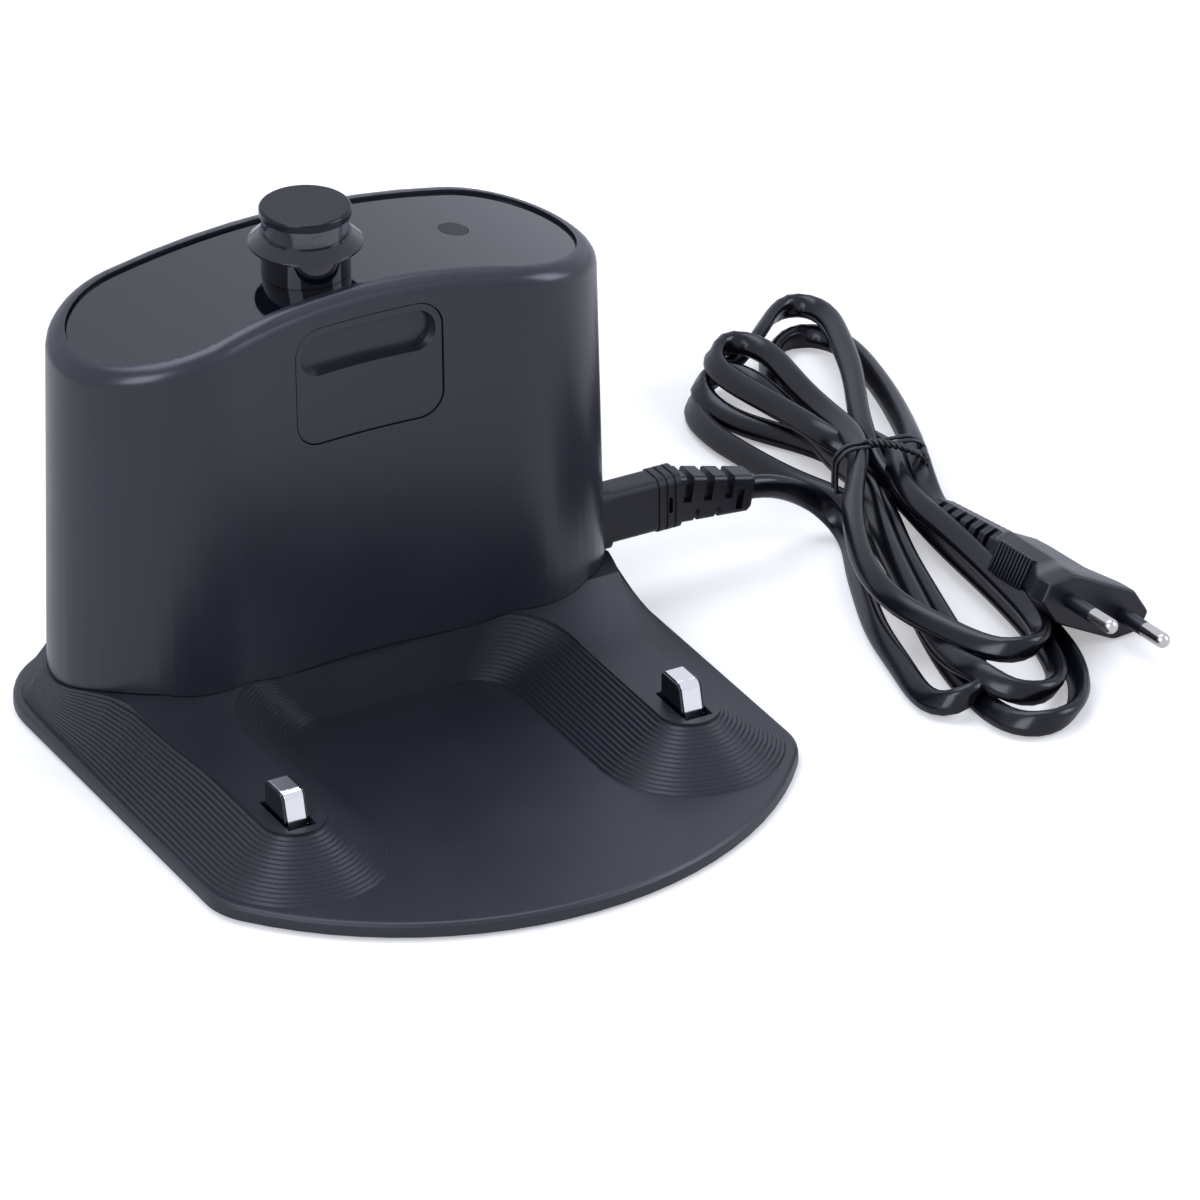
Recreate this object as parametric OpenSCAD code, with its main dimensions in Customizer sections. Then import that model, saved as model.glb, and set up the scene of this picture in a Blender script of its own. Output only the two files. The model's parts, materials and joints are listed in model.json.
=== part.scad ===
// Charging dock for a robot vacuum: a kidney-shaped tower on a terraced ramp base,
// with two sprung charging contacts, a homing beacon and a hanked mains cord.
// Origin: middle of the dock's footprint, on the floor. +Y is the back, +Z is up.

/* [Tower] */
// Distance from the middle to the centre of each rounded end
end_x = 45.1; // [43:0.1:46]
// Depth position of the rounded ends' centres
end_y = 52.3; // [51:0.1:53]
// Radius of the rounded ends at the rim
end_r = 28.4; // [27.6:0.1:28.8]
// Radius of the hollow front, which follows a round robot's bumper
front_r = 175; // [165:1:400]
// Radius of the nearly flat back
back_r = 850; // [600:10:1200]
// Height of the rim at the middle
tower_h = 116.5; // [112:0.5:125]
// Radius of the crown from side to side
crown_r = 263; // [240:1:320]
// How far the walls lean out at the foot
draft = 2.3; // [1.5:0.1:2.6]
// Thickness of the tower's walls
tower_wall = 2.4; // [2:0.1:2.6]
// Radius of the rounded rim
rim_r = 4; // [3:0.1:4.4]
// Width of the rim round the glossy cover
rim_w = 5; // [4.8:0.1:6]
// Thickness of the glossy cover
cover_t = 2.3; // [2:0.1:2.6]
// How far the cover lies below the rim
cover_drop = 0.8; // [0.4:0.1:1.2]

/* [Base] */
// Half the width of the base plate
plate_x = 81.5; // [81:0.1:84]
// Radius of the rounded front edge
nose_r = 98.5; // [97:0.1:99]
// Radius of the front corners
front_corner_r = 18; // [16:0.5:20]
// Radius of the back corners
back_corner_r = 28; // [26:0.5:30]
// Depth position of the back edge
plate_back = 88.5; // [88:0.1:90]
// Height of the flat plate's top
plate_z = 4.4; // [4.2:0.1:5]
// Height of the ramps' tops at the contacts
arm_h = 15.5; // [15:0.1:16]
// Height of the ramps' tops where they meet the tower
peak_h = 20.5; // [20:0.1:21]
// Height of the ramp behind the valley
saddle_h = 16.6; // [16.2:0.1:17]
// Height of the base's top behind the tower's middle
rear_h = 14.6; // [14.2:0.1:15]
// Number of terraces
steps = 16; // [12:1:18]
// Thickness of the base's skin
skin = 2.2; // [2:0.1:2.4]

/* [Contacts] */
// Distance from the middle to each contact
contact_x = 55.3; // [54.6:0.1:56]
// Depth position of the middle of the contact
contact_y = -31.5; // [-32:0.1:-31]
// Width of the contact strap
strap_w = 5; // [4.4:0.1:5.2]
// Height of the strap's top above the floor
strap_z = 22.8; // [22.2:0.1:23.2]
// Thickness of the strap
strap_t = 0.5; // [0.4:0.05:0.6]
// How far a contact can be pressed down
travel = 3; // [2:0.1:3.2]

/* [Beacon] */
// Distance of the beacon from the middle
beacon_x = -6.6; // [-8:0.1:0]
// Depth position of the beacon
beacon_y = 48.4; // [47:0.1:50]
// Diameter of the beacon's cap
cap_d = 23; // [22:0.1:24]
// Height of the beacon's cap
cap_h = 2.2; // [1.8:0.1:2.6]
// Height of the clear ring
lens_h = 4.8; // [4:0.1:6]
// Diameter of the collar's rim
collar_d = 28.5; // [27.5:0.1:30]
// Height of the collar above its neck
collar_h = 3.7; // [3:0.1:4.5]
// Diameter of the beacon's neck
neck_d = 22.4; // [21.8:0.1:22.8]
// Height of the beacon's neck
neck_h = 7; // [6:0.1:8]
// Distance of the status light from the middle
light_x = 37.8; // [36:0.1:39]
// Depth position of the status light
light_y = 54.3; // [53:0.1:56]
// Diameter of the status light
light_d = 7.4; // [6.8:0.1:8]

/* [Window] */
// Width of the signal window
window_w = 41.2; // [39:0.1:43]
// Height of the window's lower edge
window_z0 = 78; // [76:0.5:80]
// Height of the window's upper edge
window_z1 = 110; // [109:0.5:111]
// Radius of the window's corners
window_r = 7; // [6:0.5:8]
// Width of the finger slot in the window
slot_w = 35.6; // [33:0.1:36]
// Height of the finger slot
slot_h = 10.5; // [9:0.1:11]
// Depth of the finger slot
slot_depth = 3; // [2:0.1:3.4]

/* [Cord] */
// Width of the flat twin cord
cord_w = 6; // [5:0.1:6.4]
// Thickness of the flat twin cord
cord_t = 3.6; // [3:0.1:4]
// Diameter of the plug's pins
pin_d = 4; // [3.8:0.05:4.2]
// Distance between the plug's pins
pin_gap = 18.6; // [18:0.1:19]
// Length of the plug's pins outside the body
pin_l = 19; // [18:0.5:20]

/* [Hidden] */

shell_black = "#23252c";
gloss_black = "#121317";
base_black = "#202229";
metal = "#c9c9cc";
rubber_black = "#15161a";
board_green = "#2f6a45";
copper = "#b46a3c";

// Overrun of every cut, and the side of a block that is larger than the dock
over = 1;
block = 300;
round_fn = 64;
soft_fn = 32;
crown_fn = 720;

// Clearances
seat_gap = 0.25;
cover_gap = 0.2;
window_gap = 0.35;
plate_gap = 0.15;
touch_gap = 0.05;
bore_gap = 0.1;

// Outline of the tower, worked out from arcs that meet tangentially
front_n = 10;
end_n = 26;
back_n = 4;
plate_steps = 12;
corner_steps = 6;
lip_steps = 3;
rim_steps = 4;
wire_sides = 6;
hollow_y = end_y - sqrt(pow(front_r + end_r, 2) - pow(end_x, 2));
hump_y = end_y - sqrt(pow(back_r - end_r, 2) - pow(end_x, 2));
hollow_a = atan2(end_y - hollow_y, end_x);
hump_a = atan2(end_y - hump_y, end_x);

// The wall leans from the foot to the start of the rounded rim
rim_z = tower_h - rim_r;
foot_z = plate_z;
lean = draft / (rim_z - foot_z);
roof_t = 2.2;
pocket_drop = cover_drop + cover_t;
cavity_drop = pocket_drop + roof_t;

// Terrace rings: T is the edge of the ramp's top, B the edge on the plate
pod_x = 55.1;
pod_y = -35;
pod_top_r = 8;
band = 16.4;
ramp_edge = 2;
lip_r = 1.8;
top_out = pod_x + pod_top_r;
top_in = pod_x - pod_top_r;
low_out = plate_x - ramp_edge;
low_in = top_in - band;
pod_low_r = low_out - pod_x;
valley_top_y = 25.3;
valley_low_y = 21.4;
valley_top_r = 18;
valley_low_r = 11.5;
valley_bow = 0.2;
flare_y0 = -10;
tower_lap = 0.8;
ring_out = draft + tower_lap;
flare_a = -23;
flare_x = end_x + (end_r + ring_out) * cos(flare_a);
flare_y = end_y + (end_r + ring_out) * sin(flare_a);
corner_n = 7;
pod_n = 14;
flare_n = 6;
side_n = 10;
rear_n = 3;
riser_share = 0.28;

// Course of the ramps' tops along Y and along X
rise_y = 26;
fall_y = 60;
saddle_x0 = 20;
saddle_x1 = 52;
course_n = 12;

// Bottom plate, its screws and its feet
foot_h = 0.8;
foot_d = 12;
foot_recess = 0.4;
bottom_t = 1.6;
bottom_in = 4;
bottom_top = foot_h + bottom_t;
screw_d = 2.8;
screw_head_d = 5.6;
screw_head_t = 0.9;
screw_l = 11;
boss_d = 6.8;
boss_top = 44;
boss_bore_l = 12;
rib_t = 1.6;
end_boss_a = 40;
opening_in = 1.5;
end_boss_r = end_r - opening_in - boss_d / 2 - window_gap;
front_boss_x = 30;
front_boss_y = hollow_y + sqrt(pow(front_r + opening_in, 2) - pow(front_boss_x, 2)) + boss_d / 2
  + window_gap;
tray_boss_y = -12;
tower_bosses = [
  [end_x + end_boss_r * cos(end_boss_a), end_y + end_boss_r * sin(end_boss_a), end_boss_a],
  [-end_x - end_boss_r * cos(end_boss_a), end_y + end_boss_r * sin(end_boss_a), 180 - end_boss_a],
  [front_boss_x, front_boss_y, -90],
  [-front_boss_x, front_boss_y, -90]];
tray_bosses = [[pod_x, tray_boss_y], [-pod_x, tray_boss_y]];
feet_x = 60;
feet_front_y = -38;
feet_back_y = 54;
nose_foot_y = -72;
feet = [[feet_x, feet_front_y], [-feet_x, feet_front_y], [feet_x, feet_back_y],
  [-feet_x, feet_back_y], [0, nose_foot_y]];

// Contacts: carrier, strap, slot, peg and spring
cheek_t = 0.65;
cheek_drop = 0.3;
carrier_w = strap_w + 2 * (cheek_t + touch_gap);
strap_reach_back = 5;
strap_reach_front = 4.6;
strap_back = contact_y + strap_reach_back;
strap_top_front = contact_y - strap_reach_front;
strap_back_r = 1.2;
strap_front_r = 2;
strap_slope = 14;
groove_r = 0.4;
groove_depth = 0.25;
slot_side_gap = 0.65;
slot_end_gap = 1;
contact_slot_w = carrier_w + 2 * slot_side_gap;
slot_reach_front = 9;
slot_reach_back = 6.8;
slot_front = contact_y - slot_reach_front;
slot_back = contact_y + slot_reach_back;
flange_w = 9.6;
flange_reach_front = 5.8;
flange_front = contact_y - flange_reach_front;
flange_back = strap_back + slot_end_gap;
stop_gap = 0.3;
flange_top = arm_h - skin - stop_gap;
flange_t = 2;
flange_z = flange_top - flange_t;
strap_rise = 0.4;
strap_low = flange_top + strap_rise;
peg_d = 3;
peg_rise = 0.6;
peg_top = flange_top + peg_rise;
peg_bore_d = peg_d + bore_gap;
peg_bore_top = peg_top + travel + over;
wire_d = 0.6;
coil_d = 5;
coil_turns = 5;
coil_steps = 12;

// Beacon details
spigot_d = 19.6;
spigot_gap = 0.15;
spigot_below = 0.8;
spigot_l = cover_t + roof_t + spigot_below;
collar_lip = 1.2;
beacon_wall = 1.6;
lens_in = 0.6;
pipe_d = 5;
pipe_l = roof_t + cover_t + over;
cap_edge_share = 0.33;
reflector_share = 0.8;
crown_at = function(x, drop) tower_h - crown_r + sqrt(pow(crown_r - drop, 2) - x * x);
cover_at_beacon = crown_at(beacon_x, cover_drop);
collar_z = cover_at_beacon + neck_h;
lens_z = collar_z + collar_h;
cap_z = lens_z + lens_h;

// Boards inside the tower
board_t = 1.6;
signal_board_drop = 18.5;
signal_board_z = tower_h - signal_board_drop;
signal_board_x = [-22, 46];
signal_board_y = [40, 62];
signal_post_d = 4;
signal_posts = [[-18, 44], [-18, 58], [28, 44], [28, 58]];
emitter_d = 5;
stem_d = 8;
led_flange = 0.8;

// Signal window
window_flange = 2.5;
window_back_t = 1.2;
window_recess = 0.3;
window_mid_z = (window_z0 + window_z1) / 2;
slot_drop = 2.4;
slot_z = window_z1 - slot_drop - slot_h / 2;
slot_wall = 1.6;
slot_bevel = 0.9;
window_post_d = 4;
window_post_x = 14;
window_post_z = 84;
window_board_in = 9;
window_board_y = hollow_y + front_r + window_board_in;
window_board_w = 38;
window_board_z0 = 80;
window_board_z1 = 94;
window_led_x = 7;
window_led_z = 89;

// Main board and what stands on it
main_board_z = 9;
main_board_x = 38;
main_board_y = [40, 72];
board_post_d = 5;
board_spigot_d = 2.4;
board_hole_gap = 0.2;
board_posts = [[-33, 45], [33, 45], [-33, 67], [33, 67]];
core_w = 22;
core_d = 18;
core_h = 17;
core_x = -13;
core_y = 56;
core_leg_d = 7;
winding_d = 16;
winding_h = 10;
big_cap_d = 10;
big_cap_h = 18;
big_cap_at = [10, 49];
small_cap_d = 6.3;
small_cap_h = 11;
small_caps = [[22, 62], [22, 52]];
bridge_w = 8.4;
bridge_d = 6.4;
bridge_h = 3;
bridge_at = [6, 64];

// Mains inlet in the right-hand end
inlet_y = 46.7;
inlet_z = 25.6;
inlet_wall = 1;
inlet_depth = 15;
inlet_floor = 3;
inlet_out = 0.8;
connector_w = 9;
connector_h = 15.2;
connector_r = 2.5;
connector_gap = 0.15;
inlet_play = connector_gap + inlet_wall + plate_gap;
inlet_face = end_x + sqrt(pow(end_r + draft, 2) - pow(end_y - inlet_y, 2)) + inlet_out;
inlet_back = inlet_face - inlet_depth;
inlet_pin_d = 2.4;
inlet_pin_gap = 8.6;
inlet_pin_l = 9;
connector_in = inlet_depth - inlet_floor - 2 * seat_gap;
connector_out = 20.5;
ring_t = 1.6;
ring_pitch = 2.4;
ring_count = 3;
ring_lap = 0.35;
dimple_w = 1.1;
dimple_h = 4.6;
dimple_depth = 1.2;

// Strain relief of the connector: a comb with slots from above, from below and at its end
relief_slope = 10;
relief_l = 22.2;
relief_w = 8.4;
relief_h = 13.7;
relief_end_w = 7.4;
relief_end_h = 10.2;
relief_edge = 1.2;
relief_core_r = 2.4;
relief_pitch = 6.2;
upper_slots = 3;
upper_slot_at = 0.9;
upper_slot_t = 2.4;
upper_slot_share = 0.55;
lower_slots = 2;
lower_slot_at = 5;
lower_slot_t = 1.4;
lower_slot_share = 0.3;
end_slot_at = 17.2;
end_slot_t = 2;
end_slot_h = 5.6;

// Plug: a flat six-sided body, a tapered relief and two sleeved pins
face_w = 35.3;
face_h = 13.7;
face_side = 5.4;
face_flat = 21;
face_t = 5;
plug_l = 38;
plug_mid = 23;
plug_neck_w = 17;
plug_neck_h = 12.4;
plug_neck_flat_share = 0.6;
plug_neck_side_share = 0.5;
plug_relief_l = 30;
plug_relief_w = 9.5;
plug_relief_h = 7.5;
plug_relief_end_w = 8;
plug_relief_end_h = 5.6;
relief_flat_share = 0.6;
relief_side_share = 0.4;
relief_start_share = 0.5;
relief_shift_share = 0.2;
plug_slots = 4;
plug_slot_t = 1.7;
sleeve_l = 10;
pin_core_d = 3;
pin_in = 12;
pin_bore_d = pin_core_d + bore_gap;
grip_w = 1.1;
grip_l = 13;
grip_h = 8.5;
plug_at = [173.4, -35.4, 11.9];
plug_turn = [-2.5, 29, 3.6];

// Routes of the free cord, chosen by hand along the photographed lay
tube_sides = 8;
cord_r = (cord_w + cord_t) / 4;
relief_end = [inlet_face + connector_out + relief_l * cos(relief_slope), inlet_y,
  inlet_z - relief_l * sin(relief_slope)];
lead_route = [
  relief_end,
  relief_end + [6, 0.5, -1.2],
  [133, 50, 14],
  [141, 52, 9.5],
  [148, 52, 6],
  [156, 50, 4]];
tail_route = [
  [168.1, 32.2, 9.1],
  [167.8, 38, 8.4],
  [167.5, 45, 7.2],
  [167, 52, 6.4]];
hank_h = 13;
hank_near = [139, -56];
hank_near_r = 15.5;
hank_tie = [166, 57];
hank_tie_r = 11.5;
hank_far = [173, 131];
hank_far_r = 26;
tie_w = 3;
tie_t = 0.8;
tie_gap = 0.1;
tie_sink = 0.4;
tie_in = hank_tie_r - tie_sink;
hank_ledge_at = [159.2, 47];
hank_ledge_z = 4.4;
hank_turn = atan2(hank_far.y - hank_near.y, hank_far.x - hank_near.x) - 90;

// Points along an arc
function arc(c, r, a0, a1, n) =
  [for (i = [0 : n]) c + r * [cos(a0 + (a1 - a0) * i / n), sin(a0 + (a1 - a0) * i / n)]];
function tail(list) = [for (i = [1 : len(list) - 1]) list[i]];
function mix(a, b, t) = a + (b - a) * t;
function ease(t) = (1 - cos(180 * min(1, max(0, t)))) / 2;
// A whole loop from its right half, which runs from the front middle to the back middle
function whole(half) =
  concat(half, [for (i = [len(half) - 2 : -1 : 1]) [-half[i].x, half[i].y]]);
function at_height(loop, z) = [for (p = loop) [p.x, p.y, z]];

// Outline of the tower, moved out by d
function tower_outline(d) = whole(concat(
  arc([0, hollow_y], front_r - d, 90, hollow_a, front_n),
  tail(arc([end_x, end_y], end_r + d, hollow_a - 180, hump_a, end_n)),
  tail(arc([0, hump_y], back_r + d, hump_a, 90, back_n))));

// Outline of the plate, moved in by d
rear_c = [plate_x - back_corner_r, plate_back - back_corner_r];
nose_y = nose_r - plate_back;
nose_a = acos((plate_x - front_corner_r) / (nose_r - front_corner_r));
function plate_outline(d) = whole(concat(
  arc([0, nose_y], nose_r - d, -90, -nose_a, plate_steps),
  tail(arc([plate_x - front_corner_r, nose_y - (nose_r - front_corner_r) * sin(nose_a)],
    front_corner_r - d, -nose_a, 0, corner_steps)),
  arc(rear_c, back_corner_r - d, 0, 90, plate_steps),
  [[0, plate_back - d]]));

// Right half of the ramp's top edge, moved in by d
function top_half(d) = concat(
  [[0, valley_top_y + valley_bow + d]],
  arc([top_in - valley_top_r, valley_top_y - valley_top_r], valley_top_r + d, 90, 0, corner_n),
  arc([pod_x, pod_y], pod_top_r - d, 180, 360, pod_n),
  [for (i = [0 : flare_n - 1]) [
    top_out - d + (flare_x - top_out) * (1 - cos(90 * i / flare_n)),
    mix(flare_y0, flare_y, i / flare_n)]],
  arc([end_x, end_y], end_r + ring_out - d, flare_a, hump_a, side_n),
  tail(arc([0, hump_y], back_r + ring_out - d, hump_a, 90, rear_n)));

// Right half of the ramp's foot on the plate, moved in by d, with as many points
rear_r = back_corner_r - ramp_edge;
side_straight_n = 3;
function low_half(d) = concat(
  [[0, valley_low_y + valley_bow + d]],
  arc([low_in - valley_low_r, valley_low_y - valley_low_r], valley_low_r + d, 90, 0, corner_n),
  arc([pod_x, pod_y], pod_low_r - d, 180, 360, pod_n),
  [for (i = [0 : flare_n - 1]) [low_out - d, mix(flare_y0, flare_y, i / flare_n)]],
  [for (i = [0 : side_straight_n - 1])
    [low_out - d, mix(flare_y, rear_c.y, i / side_straight_n)]],
  arc(rear_c, rear_r - d, 0, 90, side_n - side_straight_n),
  [for (i = [1 : rear_n]) [rear_c.x * (1 - i / rear_n), plate_back - ramp_edge - d]]);

// Height of the ramps' tops, along Y and along X
function along_y(y) = y < rise_y
  ? mix(arm_h, peak_h, pow(max(0, y) / rise_y, 2))
  : mix(peak_h, rear_h, ease((y - rise_y) / (fall_y - rise_y)));
function along_x(x) = mix(saddle_h, peak_h + over, ease((abs(x) - saddle_x0) / (saddle_x1 - saddle_x0)));
function ramp_top(p) = min(along_y(p.y), along_x(p.x));

// A closed skin through loops of equal length, the lowest first
module loft(rings) {
  n = len(rings[0]);
  m = len(rings);
  sides = [for (k = [0 : m - 2], i = [0 : n - 1])
    let (a = k * n + i, b = k * n + (i + 1) % n)
    each [[a, a + n, b + n], [a, b + n, b]]];
  polyhedron(
    points = [for (ring = rings) each ring],
    faces = concat([[for (i = [0 : n - 1]) i]], sides,
      [[for (i = [n - 1 : -1 : 0]) (m - 1) * n + i]]),
    convexity = 10);
}

// All that lies below the crown lowered by drop
module below_crown(drop) {
  translate([0, block, tower_h - crown_r])
    rotate([90, 0, 0])
      cylinder(r = crown_r - drop, h = 2 * block, $fn = crown_fn);
}

// All that lies below the ramps' tops raised by lift
module below_ramp(lift) {
  ys = concat([-block], [for (i = [0 : course_n]) rise_y * i / course_n],
    [for (i = [1 : course_n]) mix(rise_y, fall_y, i / course_n)], [block]);
  xs = [for (i = [0 : course_n]) mix(saddle_x0, saddle_x1, i / course_n)];
  across = concat(
    [for (i = [course_n : -1 : 0]) [-xs[i], along_x(xs[i]) + lift]],
    [for (x = xs) [x, along_x(x) + lift]]);
  intersection() {
    rotate([90, 0, 90])
      linear_extrude(2 * block, center = true)
        polygon(concat([[-block, -block]], [for (y = ys) [y, along_y(y) + lift]],
          [[block, -block]]));
    rotate([90, 0, 0])
      linear_extrude(2 * block, center = true)
        polygon(concat([[-block, -block], [-block, along_x(block) + lift]], across,
          [[block, along_x(block) + lift], [block, -block]]));
  }
}

// Upright outline seen from the end of the tower, extruded along X
module along_inlet(x0, x1) {
  translate([x0, inlet_y, inlet_z])
    rotate([90, 0, 90])
      linear_extrude(x1 - x0)
        children();
}

module rounded_rect(w, h, r) {
  square([w - 2 * r, h], center = true);
  square([w, h - 2 * r], center = true);
  for (x = [-1, 1], z = [-1, 1])
    translate([x * (w / 2 - r), z * (h / 2 - r)])
      circle(r, $fn = round_fn);
}

// Outline of the connector, moved out by d
module inlet_outline(d) {
  rounded_rect(connector_w + 2 * d, connector_h + 2 * d, connector_r + d);
}

// Outline seen from the front at height z, extruded back from the dock's front
module from_front(z, y0, y1) {
  translate([0, y1, z])
    rotate([90, 0, 0])
      linear_extrude(y1 - y0)
        children();
}

module ring_of(r0, r1, h) {
  difference() {
    cylinder(r = r1, h = h, $fn = round_fn);
    translate([0, 0, -over])
      cylinder(r = r0, h = h + 2 * over, $fn = round_fn);
  }
}

// Tower

module tower_body() {
  intersection() {
    loft(concat(
      [at_height(tower_outline(draft), foot_z)],
      [for (k = [0 : rim_steps - 1])
        let (a = 90 * k / rim_steps)
        [for (p = tower_outline(-rim_r * (1 - cos(a))))
          [p.x, p.y, crown_at(p.x, rim_r) + rim_r * sin(a)]]],
      [[for (p = tower_outline(-rim_r)) [p.x, p.y, crown_at(p.x, 0) + touch_gap]],
        at_height(tower_outline(-rim_r), tower_h + over)]));
    below_crown(0);
  }
}

module tower_cavity() {
  intersection() {
    loft([
      at_height(tower_outline(draft - tower_wall + lean * 2 * over), foot_z - 2 * over),
      at_height(tower_outline(-tower_wall), rim_z - rim_r),
      at_height(tower_outline(-tower_wall), tower_h + over)]);
    below_crown(cavity_drop);
  }
}

module tower_shell() {
  color(shell_black)
    difference() {
      union() {
        difference() {
          tower_body();
          tower_cavity();
          difference() {
            translate([0, 0, rim_z - rim_r - cavity_drop])
              linear_extrude(block)
                polygon(tower_outline(-rim_w + touch_gap));
            below_crown(pocket_drop);
          }
        }
        for (b = tower_bosses)
          translate([b.x, b.y, 0]) {
            translate([0, 0, bottom_top + touch_gap])
              cylinder(d = boss_d, h = boss_top - bottom_top - touch_gap, $fn = round_fn);
            rotate([0, 0, b.z])
              translate([0, -rib_t / 2, peak_h + over])
                cube([boss_d / 2 + opening_in + window_gap + seat_gap, rib_t, boss_top - peak_h - 2 * over]);
          }
        intersection() {
          for (p = signal_posts)
            translate([p.x, p.y, signal_board_z + board_t])
              cylinder(d = signal_post_d, h = tower_h - signal_board_z, $fn = round_fn);
          below_crown(pocket_drop + over);
        }
      }
      difference() {
        translate([-block / 2, -block / 2, 0])
          difference() {
            cube([block, block, peak_h + 2 * over]);
            for (b = tower_bosses)
              translate([b.x + block / 2, b.y + block / 2, 0])
                cylinder(d = boss_d + over, h = block, $fn = round_fn);
          }
        difference() {
          translate([-block, -block, -block / 2])
            cube(2 * block);
          below_ramp(seat_gap);
        }
      }
      for (b = tower_bosses)
        translate([b.x, b.y, bottom_top - over])
          cylinder(d = screw_d + bore_gap, h = boss_bore_l + over, $fn = round_fn);
      translate([beacon_x, beacon_y, rim_z - cavity_drop])
        cylinder(d = spigot_d + 2 * spigot_gap, h = block, $fn = round_fn);
      translate([light_x, light_y, rim_z - rim_r - cavity_drop])
        cylinder(d = pipe_d + 2 * spigot_gap, h = block, $fn = round_fn);
      from_front(window_mid_z, 0, end_y)
        rounded_rect(window_w, window_z1 - window_z0, window_r);
      along_inlet(inlet_back, block)
        inlet_outline(inlet_play);
    }
}

module top_cover() {
  color(gloss_black)
    difference() {
      intersection() {
        translate([0, 0, rim_z - rim_r - cavity_drop])
          linear_extrude(block)
            polygon(tower_outline(-rim_w - cover_gap));
        below_crown(cover_drop);
      }
      below_crown(pocket_drop - touch_gap);
      translate([beacon_x, beacon_y, 0])
        cylinder(d = spigot_d + 2 * spigot_gap, h = block, $fn = round_fn);
      translate([light_x, light_y, 0])
        cylinder(d = light_d + 2 * spigot_gap, h = block, $fn = round_fn);
    }
}

// Beacon

module beacon_collar() {
  neck_r = neck_d / 2;
  inner_r = neck_r - beacon_wall;
  color(shell_black)
    translate([beacon_x, beacon_y, 0])
      difference() {
        union() {
          difference() {
            translate([0, 0, cover_at_beacon - over])
              cylinder(r = neck_r, h = neck_h + over, $fn = round_fn);
            translate([-beacon_x, 0, 0])
              below_crown(cover_drop - touch_gap);
          }
          translate([0, 0, collar_z])
            rotate_extrude($fn = round_fn)
              polygon([[0, 0], [neck_r, 0], [collar_d / 2, collar_lip / 2],
                [collar_d / 2, collar_lip], [cap_d / 2, collar_h], [0, collar_h]]);
          translate([0, 0, cover_at_beacon - spigot_l])
            cylinder(d = spigot_d, h = spigot_l + neck_h / 2, $fn = round_fn);
        }
        translate([0, 0, cover_at_beacon - spigot_l - over])
          cylinder(r = spigot_d / 2 - beacon_wall, h = block, $fn = round_fn);
      }
}

module beacon_lens() {
  color("#8d939c", 0.5)
    translate([beacon_x, beacon_y, lens_z])
      ring_of(cap_d / 2 - lens_in - beacon_wall, cap_d / 2 - lens_in, lens_h);
}

module beacon_cap() {
  edge_r = cap_h * cap_edge_share;
  color(gloss_black)
    translate([beacon_x, beacon_y, cap_z])
      rotate_extrude($fn = round_fn)
        polygon(concat([[0, 0], [cap_d / 2, 0]],
          arc([cap_d / 2 - edge_r, cap_h - edge_r], edge_r, 0, 90, corner_steps), [[0, cap_h]]));
}

module beacon_reflector() {
  cone_r = cap_d / 2 - lens_in - beacon_wall - cover_gap;
  color(metal)
    translate([beacon_x, beacon_y, cap_z])
      rotate([180, 0, 0])
        cylinder(r1 = cone_r, r2 = wire_d, h = lens_h * reflector_share, $fn = round_fn);
}

module signal_board() {
  color(board_green)
    translate([signal_board_x[0], signal_board_y[0], signal_board_z])
      cube([signal_board_x[1] - signal_board_x[0], signal_board_y[1] - signal_board_y[0], board_t]);
}

module beacon_emitter() {
  top = lens_z - over;
  foot = signal_board_z + board_t;
  color("#39404d")
    translate([beacon_x, beacon_y, foot]) {
      cylinder(d = stem_d, h = top - foot - emitter_d, $fn = round_fn);
      translate([0, 0, top - foot - emitter_d])
        cylinder(d = emitter_d, h = emitter_d, $fn = round_fn);
    }
}

module status_led() {
  foot = signal_board_z + board_t;
  top = crown_at(light_x, cover_drop) - pipe_l;
  color("#9fc7a5")
    translate([light_x, light_y, foot]) {
      cylinder(d = emitter_d, h = top - foot - seat_gap, $fn = round_fn);
      cylinder(d = emitter_d + led_flange, h = led_flange, $fn = round_fn);
    }
}

module led_lens() {
  top = crown_at(light_x, cover_drop);
  color("#2b2d33")
    translate([light_x, light_y, 0])
      intersection() {
        union() {
          difference() {
            translate([0, 0, top - pipe_l])
              cylinder(d = light_d, h = block, $fn = round_fn);
            translate([-light_x, 0, 0])
              below_crown(pocket_drop - touch_gap);
          }
          translate([0, 0, top - pipe_l])
            cylinder(d = pipe_d, h = pipe_l, $fn = round_fn);
        }
        translate([-light_x, 0, 0])
          below_crown(cover_drop);
      }
}

// Signal window

// Upright drum through the hollow front, leaning as the wall does, at depth into the wall
module front_drum(depth) {
  lean_a = atan(lean);
  mid_r = front_r - lean * (rim_z - window_mid_z);
  translate([0, hollow_y, window_mid_z])
    rotate([-lean_a, 0, 0])
      cylinder(r = mid_r + depth, h = block, center = true, $fn = crown_fn);
}

module front_band(depth0, depth1) {
  difference() {
    intersection() {
      front_drum(depth1);
      children();
    }
    front_drum(depth0);
  }
}

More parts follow.
